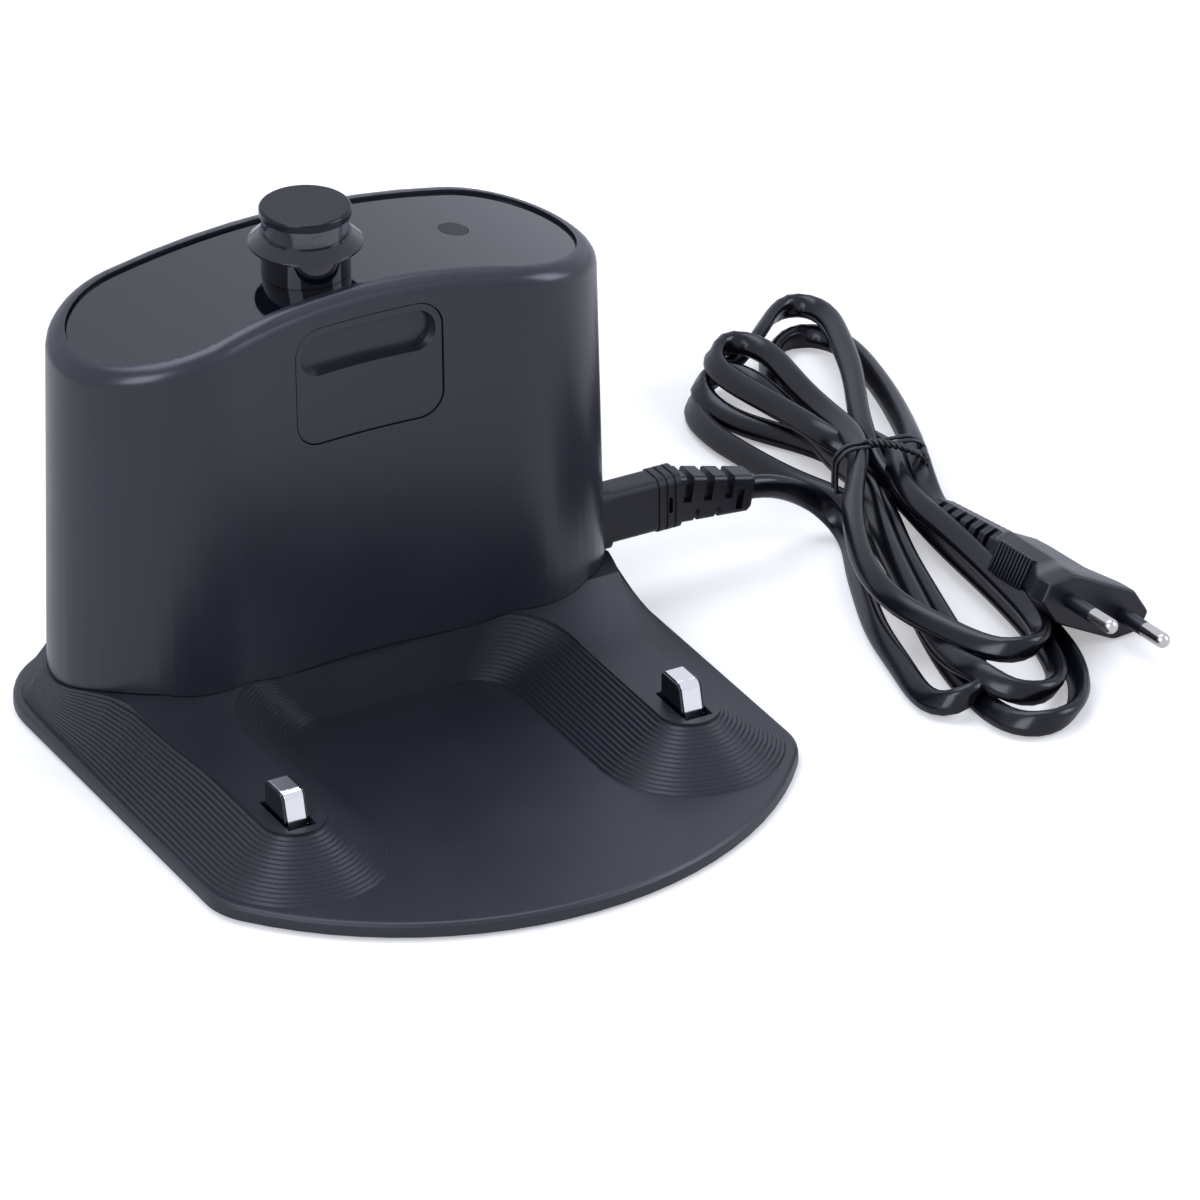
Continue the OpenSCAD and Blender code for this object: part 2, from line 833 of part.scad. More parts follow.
module signal_window() {
  w = window_w - 2 * window_gap;
  h = window_z1 - window_z0 - 2 * window_gap;
  r = window_r - window_gap;
  flange_in = tower_wall + cover_gap;
  color(shell_black)
    difference() {
      union() {
        front_band(window_recess, flange_in + window_back_t)
          from_front(window_mid_z, 0, end_y)
            rounded_rect(w, h, r);
        front_band(flange_in, flange_in + window_back_t)
          from_front(window_mid_z, 0, end_y)
            rounded_rect(window_w + 2 * window_flange, h, r);
        front_band(window_recess + over, window_recess + slot_depth + slot_wall)
          from_front(slot_z, 0, end_y)
            rounded_rect(slot_w + 2 * slot_wall, slot_h + slot_wall, (slot_h + slot_wall) / 2 - touch_gap);
        for (x = [-1, 1])
          difference() {
            translate([x * window_post_x, window_board_y, window_post_z])
              rotate([90, 0, 0])
                cylinder(d = window_post_d, h = window_board_y - hollow_y, $fn = round_fn);
            front_drum(flange_in);
          }
      }
      intersection() {
        front_drum(window_recess + slot_depth);
        from_front(slot_z, 0, end_y)
          rounded_rect(slot_w, slot_h, slot_h / 2 - touch_gap);
      }
      hull() {
        from_front(slot_z, 0, hollow_y + front_r - over)
          rounded_rect(slot_w + 2 * slot_bevel, slot_h + slot_bevel, slot_h / 2);
        from_front(slot_z, 0, hollow_y + front_r + slot_bevel)
          rounded_rect(slot_w, slot_h, slot_h / 2 - touch_gap);
      }
    }
}

module window_board() {
  color(board_green)
    translate([-window_board_w / 2, window_board_y, window_board_z0])
      cube([window_board_w, board_t, window_board_z1 - window_board_z0]);
}

module window_emitters() {
  flange_in = tower_wall + cover_gap + window_back_t;
  reach = window_board_y - hollow_y - front_r - flange_in - over;
  color("#39404d")
    for (x = [-window_led_x, 0, window_led_x])
      translate([x, window_board_y, window_led_z])
        rotate([90, 0, 0])
          cylinder(d = emitter_d, h = reach, $fn = round_fn);
}

// Base

// Ramps with their terraces, up to the smooth top
module ramps() {
  low = whole(low_half(0));
  high = whole(top_half(0));
  step_h = [for (p = high) (ramp_top(p) - plate_z) / steps];
  n = len(low);
  intersection() {
    loft(concat(
      [at_height(low, plate_z - over)],
      [for (k = [0 : steps - 1], half = [0, 1])
        if (!(k == steps - 1 && half == 1))
          let (t = min(1, (k + half * riser_share) / (steps - 1)))
          [for (i = [0 : n - 1])
            let (q = mix(low[i], high[i], t))
            [q.x, q.y, plate_z + step_h[i] * (k + half)]]],
      [at_height(high, peak_h + 2 * over)]));
    below_ramp(0);
  }
}

// The hollow under the ramps, one skin below them
module ramp_hollow() {
  low = whole(low_half(skin + over));
  high = whole(top_half(skin));
  intersection() {
    loft([
      at_height(low, -over),
      at_height(low, bottom_top + cover_gap),
      [for (p = high) [p.x, p.y, ramp_top(p) - skin - seat_gap]],
      at_height(high, peak_h + 2 * over)]);
    below_ramp(-skin);
  }
}

module base_tray() {
  color(base_black)
    difference() {
      union() {
        loft(concat(
          [at_height(plate_outline(touch_gap), foot_h)],
          [at_height(plate_outline(0), foot_h + touch_gap)],
          [for (k = [0 : lip_steps])
            let (a = 90 * k / lip_steps)
            at_height(plate_outline(lip_r * (1 - cos(a))), plate_z - lip_r * (1 - sin(a)))]));
        ramps();
      }
      difference() {
        ramp_hollow();
        for (b = tray_bosses)
          translate([b.x, b.y, 0])
            cylinder(d = boss_d, h = block, $fn = round_fn);
      }
      translate([0, 0, -over])
        linear_extrude(bottom_top + plate_gap + over)
          polygon(plate_outline(bottom_in - plate_gap));
      translate([0, 0, plate_z + 2 * over])
        linear_extrude(block)
          polygon(tower_outline(-opening_in));
      translate([inlet_back, inlet_y - connector_w / 2 - inlet_play, inlet_z - connector_h / 2 - inlet_play])
        cube([block, connector_w + 2 * inlet_play, block]);
      for (b = tray_bosses)
        translate([b.x, b.y, 0])
          cylinder(d = screw_d + bore_gap, h = foot_h + screw_l + seat_gap, $fn = round_fn);
      for (s = [-1, 1])
        translate([s * contact_x - contact_slot_w / 2, slot_front, flange_z])
          cube([contact_slot_w, slot_back - slot_front, block]);
    }
}

module bottom_plate() {
  color(base_black)
    difference() {
      union() {
        translate([0, 0, foot_h])
          linear_extrude(bottom_t)
            polygon(plate_outline(bottom_in));
        for (s = [-1, 1])
          translate([s * contact_x, contact_y, foot_h + over])
            cylinder(d = peg_d, h = peg_top - foot_h - over, $fn = round_fn);
        for (p = board_posts)
          translate([p.x, p.y, foot_h + over]) {
            cylinder(d = board_post_d, h = main_board_z - foot_h - over, $fn = round_fn);
            cylinder(d = board_spigot_d, h = main_board_z - foot_h - over + board_t + board_hole_gap,
              $fn = round_fn);
          }
      }
      for (p = feet)
        translate([p.x, p.y, -over])
          cylinder(d = foot_d + cover_gap, h = foot_h + foot_recess + over, $fn = round_fn);
      for (b = concat(tower_bosses, tray_bosses))
        translate([b.x, b.y, 0]) {
          cylinder(d = screw_d + bore_gap, h = block, $fn = round_fn);
          cylinder(d = screw_head_d + cover_gap, h = foot_h + screw_head_t, $fn = round_fn);
        }
    }
}

module bottom_screws() {
  color(metal)
    for (b = concat(tower_bosses, tray_bosses))
      translate([b.x, b.y, foot_h]) {
        cylinder(d = screw_head_d, h = screw_head_t, $fn = round_fn);
        cylinder(d = screw_d, h = screw_l, $fn = round_fn);
      }
}

module rubber_feet() {
  color(rubber_black)
    for (p = feet)
      translate([p.x, p.y, 0])
        cylinder(d = foot_d, h = foot_h + foot_recess, $fn = round_fn);
}

// Power board

module main_board() {
  color(board_green)
    difference() {
      translate([-main_board_x, main_board_y[0], main_board_z])
        cube([2 * main_board_x, main_board_y[1] - main_board_y[0], board_t]);
      for (p = board_posts)
        translate([p.x, p.y, main_board_z - over])
          cylinder(d = board_spigot_d + board_hole_gap, h = board_t + 2 * over, $fn = round_fn);
    }
}

module on_board(at) {
  translate([at.x, at.y, main_board_z + board_t])
    children();
}

module transformer_core() {
  color("#3a3a3e")
    on_board([core_x, core_y])
      translate([0, 0, core_h / 2]) {
        difference() {
          cube([core_w, core_d, core_h], center = true);
          cylinder(d = winding_d + 2 * cover_gap, h = winding_h + 2 * cover_gap, center = true,
            $fn = round_fn);
          cube([winding_d / 2, block, winding_h + 2 * cover_gap], center = true);
        }
        cylinder(d = core_leg_d, h = core_h - over, center = true, $fn = round_fn);
      }
}

module transformer_winding() {
  color(copper)
    on_board([core_x, core_y])
      translate([0, 0, core_h / 2 - winding_h / 2])
        ring_of(core_leg_d / 2 + touch_gap, winding_d / 2, winding_h);
}

module main_capacitor() {
  color("#2c3c66")
    on_board(big_cap_at)
      cylinder(d = big_cap_d, h = big_cap_h, $fn = round_fn);
}

module output_capacitors() {
  color("#2c3c66")
    for (p = small_caps)
      on_board(p)
        cylinder(d = small_cap_d, h = small_cap_h, $fn = round_fn);
}

module bridge_rectifier() {
  color("#1d1e22")
    on_board(bridge_at)
      translate([-bridge_w / 2, -bridge_d / 2, 0])
        cube([bridge_w, bridge_d, bridge_h]);
}

// Mains inlet

module inlet_socket() {
  color(shell_black)
    difference() {
      along_inlet(inlet_back, inlet_face)
        inlet_outline(connector_gap + inlet_wall);
      along_inlet(inlet_back + inlet_floor, block)
        inlet_outline(connector_gap);
      for (s = [-1, 1])
        along_inlet(inlet_back - over, inlet_face)
          translate([0, s * inlet_pin_gap / 2])
            circle(d = inlet_pin_d + bore_gap, $fn = round_fn);
    }
}

module inlet_pins() {
  color(metal)
    for (s = [-1, 1])
      along_inlet(inlet_back - inlet_floor, inlet_back + inlet_floor + inlet_pin_l)
        translate([0, s * inlet_pin_gap / 2])
          circle(d = inlet_pin_d, $fn = round_fn);
}

// Contacts, drawn for the right-hand one at x = 0

// Side outline of the strap's outer face, moved in by d, as [y, z]
function strap_outline(d) = let (
    front_c = [strap_top_front + strap_front_r, strap_z - strap_front_r],
    back_c = [strap_back - strap_back_r, strap_z - strap_back_r],
    a = 180 - strap_slope,
    knee = front_c + (strap_front_r - d) * [cos(a), sin(a)])
  concat(
    [[strap_back - d, strap_low]],
    arc(back_c, strap_back_r - min(d, strap_back_r - touch_gap), 0, 90, corner_steps),
    arc(front_c, strap_front_r - d, 90, a, corner_steps),
    [[knee.x - (knee.y - strap_low) * tan(strap_slope), strap_low]]);

module side_profile(w, points) {
  rotate([90, 0, 90])
    linear_extrude(w, center = true)
      polygon(points);
}

module contact_strap() {
  color(metal)
    difference() {
      side_profile(strap_w, strap_outline(0));
      translate([0, strap_top_front + strap_front_r, strap_z + groove_r - groove_depth])
        rotate([0, 90, 0])
          cylinder(r = groove_r, h = block, center = true, $fn = round_fn);
      side_profile(block, concat(strap_outline(strap_t),
        [[strap_top_front - block, strap_low - block], [strap_back - strap_t, strap_low - block]]));
      translate([-block / 2, -block, strap_low - block])
        cube([block, 2 * block, block]);
    }
}

module contact_carrier() {
  cheeks = strap_outline(cheek_drop);
  bed = strap_outline(strap_t + touch_gap);
  front_low = cheeks[len(cheeks) - 1].x;
  color(gloss_black)
    difference() {
      union() {
        side_profile(strap_w, bed);
        difference() {
          side_profile(carrier_w, cheeks);
          side_profile(strap_w + 2 * touch_gap, concat([[block, strap_low]],
            [[block, block], [-block, block], [-block, strap_low]]));
        }
        translate([-carrier_w / 2, front_low, flange_z])
          cube([carrier_w, strap_back - cheek_drop - front_low, strap_low - flange_z - touch_gap]);
        translate([-carrier_w / 2, front_low, flange_z])
          cube([carrier_w / 2 - strap_w / 2 - touch_gap, strap_back - cheek_drop - front_low,
            strap_low - flange_z + over]);
        translate([strap_w / 2 + touch_gap, front_low, flange_z])
          cube([carrier_w / 2 - strap_w / 2 - touch_gap, strap_back - cheek_drop - front_low,
            strap_low - flange_z + over]);
        translate([-strap_w / 2, bed[len(bed) - 1].x, flange_top])
          cube([strap_w, strap_back - strap_t - touch_gap - bed[len(bed) - 1].x,
            strap_low - flange_top + touch_gap]);
        translate([-flange_w / 2, flange_front, flange_z])
          cube([flange_w, flange_back - flange_front, flange_t]);
      }
      translate([0, contact_y, flange_z - over])
        cylinder(d = peg_bore_d, h = peg_bore_top - flange_z + over, $fn = round_fn);
    }
}

module contact_spring() {
  low = bottom_top + wire_d / 2 + touch_gap;
  high = flange_z - wire_d / 2 - touch_gap;
  count = coil_turns * coil_steps;
  color(metal)
    loft([for (k = [0 : count])
      let (
        a = 360 * k / coil_steps,
        c = coil_d / 2 * [cos(a), sin(a)],
        z = mix(low, high, k / count))
      [for (i = [0 : wire_sides - 1])
        let (b = 360 * i / wire_sides)
        [c.x + wire_d / 2 * cos(b) * cos(a), contact_y + c.y + wire_d / 2 * cos(b) * sin(a),
          z + wire_d / 2 * sin(b)]]]);
}

module at_side(s) {
  translate([s * contact_x, 0, 0])
    children();
}

// Cord, its connector and its plug

// A round tube swept along a route, with level ends' rings square to it
function unit(v) = v / norm(v);
module tube(route, r) {
  m = len(route);
  loft([for (k = [0 : m - 1])
    let (
      t = unit(route[min(m - 1, k + 1)] - route[max(0, k - 1)]),
      side = unit(cross(t, [0, 0, 1])),
      up = cross(side, t))
    [for (i = [0 : tube_sides - 1])
      let (a = -360 * i / tube_sides)
      route[k] + r * (cos(a) * side + sin(a) * up)]]);
}

module relief_slab(w, h, z) {
  translate([0, 0, z])
    linear_extrude(touch_gap)
      rotate([0, 0, 90])
        rounded_rect(w, h, connector_r - relief_edge);
}

// Tapered comb along +Z with its top towards -X, and a core that the cord runs in
module connector_relief() {
  difference() {
    hull() {
      relief_slab(relief_w, relief_h, -2 * over);
      relief_slab(relief_end_w, relief_end_h, relief_l - relief_edge);
      relief_slab(relief_end_w - relief_edge, relief_end_h - relief_edge, relief_l - touch_gap);
    }
    difference() {
      union() {
        for (k = [0 : upper_slots - 1])
          translate([-block, -block / 2, upper_slot_at + k * relief_pitch])
            cube([block + relief_h * (upper_slot_share - 0.5), block, upper_slot_t]);
        for (k = [0 : lower_slots - 1])
          translate([relief_h * (0.5 - lower_slot_share), -block / 2, lower_slot_at + k * relief_pitch])
            cube([block, block, lower_slot_t]);
        translate([-end_slot_h / 2 + relief_edge, -block / 2, end_slot_at])
          cube([end_slot_h, block, end_slot_t]);
      }
      translate([0, 0, -over])
        cylinder(r = relief_core_r, h = relief_l + over, $fn = round_fn);
    }
  }
}

module connector() {
  nose_x = inlet_face - connector_in;
  body_x = inlet_face + connector_out;
  color(rubber_black)
    difference() {
      union() {
        along_inlet(nose_x, body_x)
          inlet_outline(0);
        for (k = [0 : ring_count - 1])
          along_inlet(body_x - ring_t - k * ring_pitch, body_x - k * ring_pitch)
            inlet_outline(ring_lap);
        translate([body_x, inlet_y, inlet_z])
          rotate([0, 90 + relief_slope, 0])
            connector_relief();
      }
      translate([body_x - ring_pitch - ring_t / 2, 0, 0])
        from_front(inlet_z, inlet_y - connector_w, inlet_y - connector_w / 2 + dimple_depth)
          rounded_rect(dimple_w, dimple_h, dimple_w / 2 - touch_gap);
      for (s = [-1, 1])
        along_inlet(nose_x - over, nose_x + inlet_pin_l + over)
          translate([0, s * inlet_pin_gap / 2])
            circle(d = inlet_pin_d + bore_gap, $fn = round_fn);
    }
}

module lead_cord() {
  color(rubber_black)
    tube(lead_route, cord_r);
}

module hank_outline() {
  hull() {
    translate(hank_near)
      circle(hank_near_r, $fn = soft_fn);
    translate(hank_tie)
      circle(hank_tie_r, $fn = soft_fn);
  }
  hull() {
    translate(hank_tie)
      circle(hank_tie_r, $fn = soft_fn);
    translate(hank_far)
      circle(hank_far_r, $fn = soft_fn);
  }
}

module tie_box(half, w, z0, z1) {
  translate([hank_tie.x, hank_tie.y, z0])
    rotate([0, 0, hank_turn])
      translate([-half, -w / 2, 0])
        cube([2 * half, w, z1 - z0]);
}

module cord_hank() {
  color(rubber_black)
    difference() {
      linear_extrude(hank_h)
        hank_outline();
      translate([hank_ledge_at.x, hank_ledge_at.y - block, hank_ledge_z])
        cube(block);
      difference() {
        tie_box(block, tie_w + 2 * tie_gap, -over, block);
        tie_box(tie_in - tie_gap, 2 * tie_w, tie_t + tie_gap, block);
      }
    }
}

module twist_tie() {
  color("#0d0e10")
    difference() {
      tie_box(tie_in + tie_t, tie_w, 0, hank_h + tie_gap + tie_t);
      tie_box(tie_in, 2 * tie_w, tie_t, hank_h + tie_gap);
    }
}

module tail_cord() {
  color(rubber_black)
    tube(tail_route, cord_r);
}

module plug_frame() {
  translate(plug_at)
    rotate(plug_turn)
      children();
}

module plug_section(y, t, points) {
  translate([0, y + t, 0])
    rotate([90, 0, 0])
      linear_extrude(t)
        polygon(points);
}

function six_sided(w, flat, side, h) = [
  [-flat / 2, -h / 2], [flat / 2, -h / 2], [w / 2, -side / 2], [w / 2, side / 2],
  [flat / 2, h / 2], [-flat / 2, h / 2], [-w / 2, side / 2], [-w / 2, -side / 2]];

function relief_section(w, h, flat_share, side_share) =
  six_sided(w, w * flat_share, h * side_share, h);

module plug_body() {
  neck = relief_section(plug_neck_w, plug_neck_h, plug_neck_flat_share, plug_neck_side_share);
  color(rubber_black)
    plug_frame()
      difference() {
        union() {
          hull() {
            plug_section(0, face_t, six_sided(face_w, face_flat, face_side, face_h));
            plug_section(plug_mid, over, neck);
          }
          plug_section(plug_mid, plug_l - plug_mid, neck);
          for (s = [-1, 1])
            translate([s * (plug_neck_w / 2 - grip_w / 2) - grip_w, plug_mid - over, -grip_h / 2])
              cube([2 * grip_w, grip_l, grip_h]);
          difference() {
            hull() {
              plug_section(plug_l - over, over,
                relief_section(plug_relief_w, plug_relief_h, relief_flat_share, relief_side_share));
              plug_section(plug_l + plug_relief_l - over, over,
                relief_section(plug_relief_end_w, plug_relief_end_h, relief_flat_share,
                  relief_side_share));
            }
            for (k = [1 : plug_slots], s = [-1, 1])
              translate([s * block / 2 + s * cord_w / 2 - block / 2,
                plug_l + plug_relief_l * (k - relief_start_share + s * relief_shift_share)
                  / (plug_slots + relief_start_share), -block / 2])
                cube([block, plug_slot_t, block]);
          }
          for (s = [-1, 1])
            translate([s * pin_gap / 2, over, 0])
              rotate([90, 0, 0])
                cylinder(d = pin_d, h = sleeve_l + over, $fn = round_fn);
        }
        for (s = [-1, 1])
          translate([s * pin_gap / 2, pin_in, 0])
            rotate([90, 0, 0])
              cylinder(d = pin_bore_d, h = block, $fn = round_fn);
      }
}

module plug_pins() {
  color(metal)
    plug_frame()
      for (s = [-1, 1])
        translate([s * pin_gap / 2, pin_in - touch_gap, 0])
          rotate([90, 0, 0]) {
            cylinder(d = pin_core_d, h = pin_in + sleeve_l + over, $fn = round_fn);
            translate([0, 0, pin_in + sleeve_l])
              cylinder(d = pin_d, h = pin_l - sleeve_l - pin_d / 2, $fn = round_fn);
            translate([0, 0, pin_in + pin_l - pin_d / 2])
              sphere(d = pin_d, $fn = round_fn);
          }
}

tower_shell();
top_cover();
beacon_collar();
beacon_lens();
beacon_cap();
beacon_reflector();
signal_board();
beacon_emitter();
status_led();
led_lens();
signal_window();
window_board();
window_emitters();
base_tray();
bottom_plate();
bottom_screws();
rubber_feet();
main_board();
transformer_core();
transformer_winding();
main_capacitor();
output_capacitors();
bridge_rectifier();
inlet_socket();
inlet_pins();
at_side(-1) contact_carrier();  // contact_carrier_left
at_side(1) contact_carrier();  // contact_carrier_right
at_side(-1) contact_strap();  // contact_strap_left
at_side(1) contact_strap();  // contact_strap_right
at_side(-1) contact_spring();  // contact_spring_left
at_side(1) contact_spring();  // contact_spring_right
connector();
lead_cord();
cord_hank();
tail_cord();
plug_body();
plug_pins();
twist_tie();
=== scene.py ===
# %% [markdown]
# # A charging dock for a robot vacuum
# The dock is a kidney-shaped tower of black ABS on a flat base with two terraced ramps.
# Two sprung contacts stand on the ramps, a beacon and a light sit on the glossy cover,
# and a flat twin cord, folded into a hank, lies beside it with its plug.
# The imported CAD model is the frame: it gives every size, and this file dresses it.

# %% The frame and its box
import json
import math

import bmesh
import bpy
import numpy as np
from mathutils import Matrix, Vector

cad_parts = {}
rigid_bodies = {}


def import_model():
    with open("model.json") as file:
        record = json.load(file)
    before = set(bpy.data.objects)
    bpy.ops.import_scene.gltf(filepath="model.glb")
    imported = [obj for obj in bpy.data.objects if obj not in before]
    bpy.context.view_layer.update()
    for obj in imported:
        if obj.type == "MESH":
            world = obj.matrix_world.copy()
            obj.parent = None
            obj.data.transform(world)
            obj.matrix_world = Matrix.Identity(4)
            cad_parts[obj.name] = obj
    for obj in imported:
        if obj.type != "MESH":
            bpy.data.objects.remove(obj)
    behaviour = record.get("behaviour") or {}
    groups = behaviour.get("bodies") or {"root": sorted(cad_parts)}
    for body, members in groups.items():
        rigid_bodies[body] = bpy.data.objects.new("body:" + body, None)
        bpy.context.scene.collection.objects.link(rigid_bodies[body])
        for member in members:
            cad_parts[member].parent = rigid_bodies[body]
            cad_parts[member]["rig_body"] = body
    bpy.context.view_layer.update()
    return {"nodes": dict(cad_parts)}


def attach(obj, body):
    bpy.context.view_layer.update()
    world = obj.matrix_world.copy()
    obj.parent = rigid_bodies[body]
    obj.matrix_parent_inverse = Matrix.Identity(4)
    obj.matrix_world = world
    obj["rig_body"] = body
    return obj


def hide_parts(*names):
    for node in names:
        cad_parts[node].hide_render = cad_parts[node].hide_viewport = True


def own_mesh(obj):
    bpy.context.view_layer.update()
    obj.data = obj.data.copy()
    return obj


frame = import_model()
MM = 0.001

# %% [markdown]
# ## The camera
# The photograph was taken from the front left and above, from far away. A long lens keeps
# the verticals nearly parallel, as they are there. The matrix is built from three axes
# at right angles, so the picture has no roll.

# %% Camera
# metres, in the frame's axes
camera_at = Vector((-1.0042, -1.9041, 1.2516))
toward_camera = Vector((-0.4223, -0.7631, 0.4894)).normalized()
picture_right = Vector((0.8750, -0.4842, 0.0)).normalized()
picture_up = toward_camera.cross(picture_right).normalized()
picture_right = picture_up.cross(toward_camera)

lens = bpy.data.cameras.new("studio_lens")
lens_long, sensor_wide = 300, 36
lens.lens = lens_long
lens.sensor_width = sensor_wide
camera = bpy.data.objects.new("studio_camera", lens)
axes = Matrix((picture_right, picture_up, toward_camera)).transposed().to_4x4()
camera.matrix_world = Matrix.Translation(camera_at) @ axes
bpy.context.scene.collection.objects.link(camera)
bpy.context.scene.camera = camera
print("camera stands", round(camera_at.length, 2), "m from the dock's origin")


# %% [markdown]
# ## Colours and nodes
# Colours are written as the sRGB values that the eye reads off a picture, and Blender
# mixes in linear light, so one function turns them. One more adds a shader node with its
# settings and links, which keeps each material to a few readable lines.

# %% Helpers for materials
def linear(code, alpha=1.0):
    parts = [int(code[i : i + 2], 16) / 255 for i in (1, 3, 5)]
    return [p / 12.92 if p <= 0.04045 else ((p + 0.055) / 1.055) ** 2.4 for p in parts] + [alpha]


def add(tree, kind, inputs=None, **settings):
    node = tree.nodes.new(kind)
    for key, value in settings.items():
        setattr(node, key, value)
    for key, value in (inputs or {}).items():
        if isinstance(value, bpy.types.NodeSocket):
            tree.links.new(value, node.inputs[key])
        else:
            node.inputs[key].default_value = value
    return node


def started(name):
    material = bpy.data.materials.new(name)
    material.use_nodes = True
    return material, material.node_tree, material.node_tree.nodes["Principled BSDF"]


# %% [markdown]
# ## Moulded plastics
# Almost all of the dock is injection-moulded: satin ABS for the tower, a spark-eroded
# texture on the base, polished ABS for the cover and the beacon's cap, and soft PVC for the
# cord and its mouldings. They differ in colour, gloss and grain. The grain is a fine noise
# in the bump, worked out from the grit's size in millimetres, and a slow noise shifts the
# roughness a little, as handling and the tool's flow marks do. The Bevel node rounds the
# look of each edge, as a moulding tool does.

# %% Moulded plastics
flow_mark = 24.0
coat_rough = 0.04


def moulded(name, colour, worn, rough, grain, depth, edge=0.25, ior=1.53, coat=0.0):
    material, tree, shader = started(name)
    shader.inputs["IOR"].default_value = ior
    shader.inputs["Coat Weight"].default_value = coat
    shader.inputs["Coat Roughness"].default_value = coat_rough
    place = add(tree, "ShaderNodeTexCoord").outputs["Object"]
    slow_scale = 1 / (flow_mark * MM)
    slow = add(tree, "ShaderNodeTexNoise", {"Vector": place, "Scale": slow_scale, "Detail": 3.0})
    tint = add(
        tree,
        "ShaderNodeMix",
        # a Mix node keeps its two colour sockets after the float and vector ones
        {"Factor": slow.outputs["Fac"], 6: linear(colour), 7: linear(worn)},
        data_type="RGBA",
    )
    tree.links.new(tint.outputs[2], shader.inputs["Base Color"])
    spread = add(
        tree,
        "ShaderNodeMapRange",
        {"Value": slow.outputs["Fac"], "To Min": rough * 0.85, "To Max": rough * 1.15},
    )
    tree.links.new(spread.outputs["Result"], shader.inputs["Roughness"])
    grit = add(
        tree, "ShaderNodeTexNoise", {"Vector": place, "Scale": 1 / (grain * MM), "Detail": 2.0}
    )
    rounded = add(tree, "ShaderNodeBevel", {"Radius": edge * MM}, samples=4)
    bump = add(
        tree,
        "ShaderNodeBump",
        {
            "Height": grit.outputs["Fac"],
            "Strength": 0.5,
            "Distance": depth * MM,
            "Normal": rounded.outputs["Normal"],
        },
    )
    tree.links.new(bump.outputs["Normal"], shader.inputs["Normal"])
    return material


satin_abs = moulded("satin_moulded_abs", "#1a1c24", "#1f212a", 0.29, 0.5, 0.012, edge=0.12)
textured_abs = moulded("spark_textured_abs", "#15161e", "#191b23", 0.4, 0.6, 0.015, edge=0.05)
polished_abs = moulded("polished_black_abs", "#08090f", "#0b0c13", 0.06, 6.0, 0.008, coat=0.3)
cap_abs = moulded("dark_cap_polycarbonate", "#0a0b10", "#0d0e14", 0.2, 4.0, 0.005, ior=1.36)
soft_pvc = moulded("soft_black_pvc", "#0b0c13", "#101118", 0.36, 0.9, 0.02, edge=0.12, ior=1.46)
cord_pvc = moulded("extruded_cord_pvc", "#07080e", "#0b0c13", 0.23, 1.2, 0.015, edge=0.1, ior=1.43)
foot_rubber = moulded("black_foot_rubber", "#121214", "#18181a", 0.75, 0.8, 0.05)
print("plastics:", len(bpy.data.materials))


# %% [markdown]
# ## Metals
# The contacts are spring steel strip with bright nickel, and the plug's pins are nickel on
# brass. Both came off a press, so fine scratches run along them. A noise stretched along
# one axis stands for those, and the default IOR stays, as a metal takes its look from its
# colour.

# %% Metals
def metal(name, colour, rough, stretch, line=0.25, depth=0.004):
    material, tree, shader = started(name)
    shader.inputs["Metallic"].default_value = 1.0
    shader.inputs["Base Color"].default_value = linear(colour)
    place = add(tree, "ShaderNodeTexCoord").outputs["Object"]
    turned = add(tree, "ShaderNodeMapping", {"Vector": place, "Scale": stretch})
    lines = add(
        tree,
        "ShaderNodeTexNoise",
        {"Vector": turned.outputs["Vector"], "Scale": 1 / (line * MM), "Detail": 4.0},
    )
    spread = add(
        tree,
        "ShaderNodeMapRange",
        {"Value": lines.outputs["Fac"], "To Min": rough * 0.6, "To Max": rough * 1.5},
    )
    tree.links.new(spread.outputs["Result"], shader.inputs["Roughness"])
    bump = add(
        tree,
        "ShaderNodeBump",
        {"Height": lines.outputs["Fac"], "Strength": 0.4, "Distance": depth * MM},
    )
    tree.links.new(bump.outputs["Normal"], shader.inputs["Normal"])
    return material


contact_nickel = metal("nickelled_spring_steel", "#f0efed", 0.07, (1.0, 0.06, 0.06), 0.4, 0.001)
pin_nickel = metal("nickelled_brass_pin", "#cfccc6", 0.16, (1.0, 0.1, 1.0))
zinc_steel = metal("zinc_plated_steel", "#b9bcc0", 0.3, (1.0, 1.0, 1.0), 0.6, 0.01)
winding_copper = metal("enamelled_copper_wire", "#b4683a", 0.3, (0.2, 0.2, 8.0), 1.0, 0.05)
reflector_foil = metal("bright_reflector_foil", "#d9dadc", 0.1, (1.0, 1.0, 1.0), 2.0, 0.002)


# %% [markdown]
# ## Clear and electronic materials
# The beacon's ring is smoky polycarbonate that the infrared light passes through, and the
# light's window is darker. Both are real glass-like shaders over the parts inside. The
# boards and parts under the shell are seen only in other views, and get the common finishes
# of such parts.

# %% Clear and electronic materials
haze_size = 5.0


def clear(name, colour, rough, ior, let_through):
    material, tree, shader = started(name)
    shader.inputs["Base Color"].default_value = linear(colour)
    shader.inputs["Transmission Weight"].default_value = let_through
    shader.inputs["IOR"].default_value = ior
    place = add(tree, "ShaderNodeTexCoord").outputs["Object"]
    haze = add(tree, "ShaderNodeTexNoise", {"Vector": place, "Scale": 1 / (haze_size * MM)})
    spread = add(
        tree,
        "ShaderNodeMapRange",
        {"Value": haze.outputs["Fac"], "To Min": rough * 0.7, "To Max": rough * 1.3},
    )
    tree.links.new(spread.outputs["Result"], shader.inputs["Roughness"])
    return material


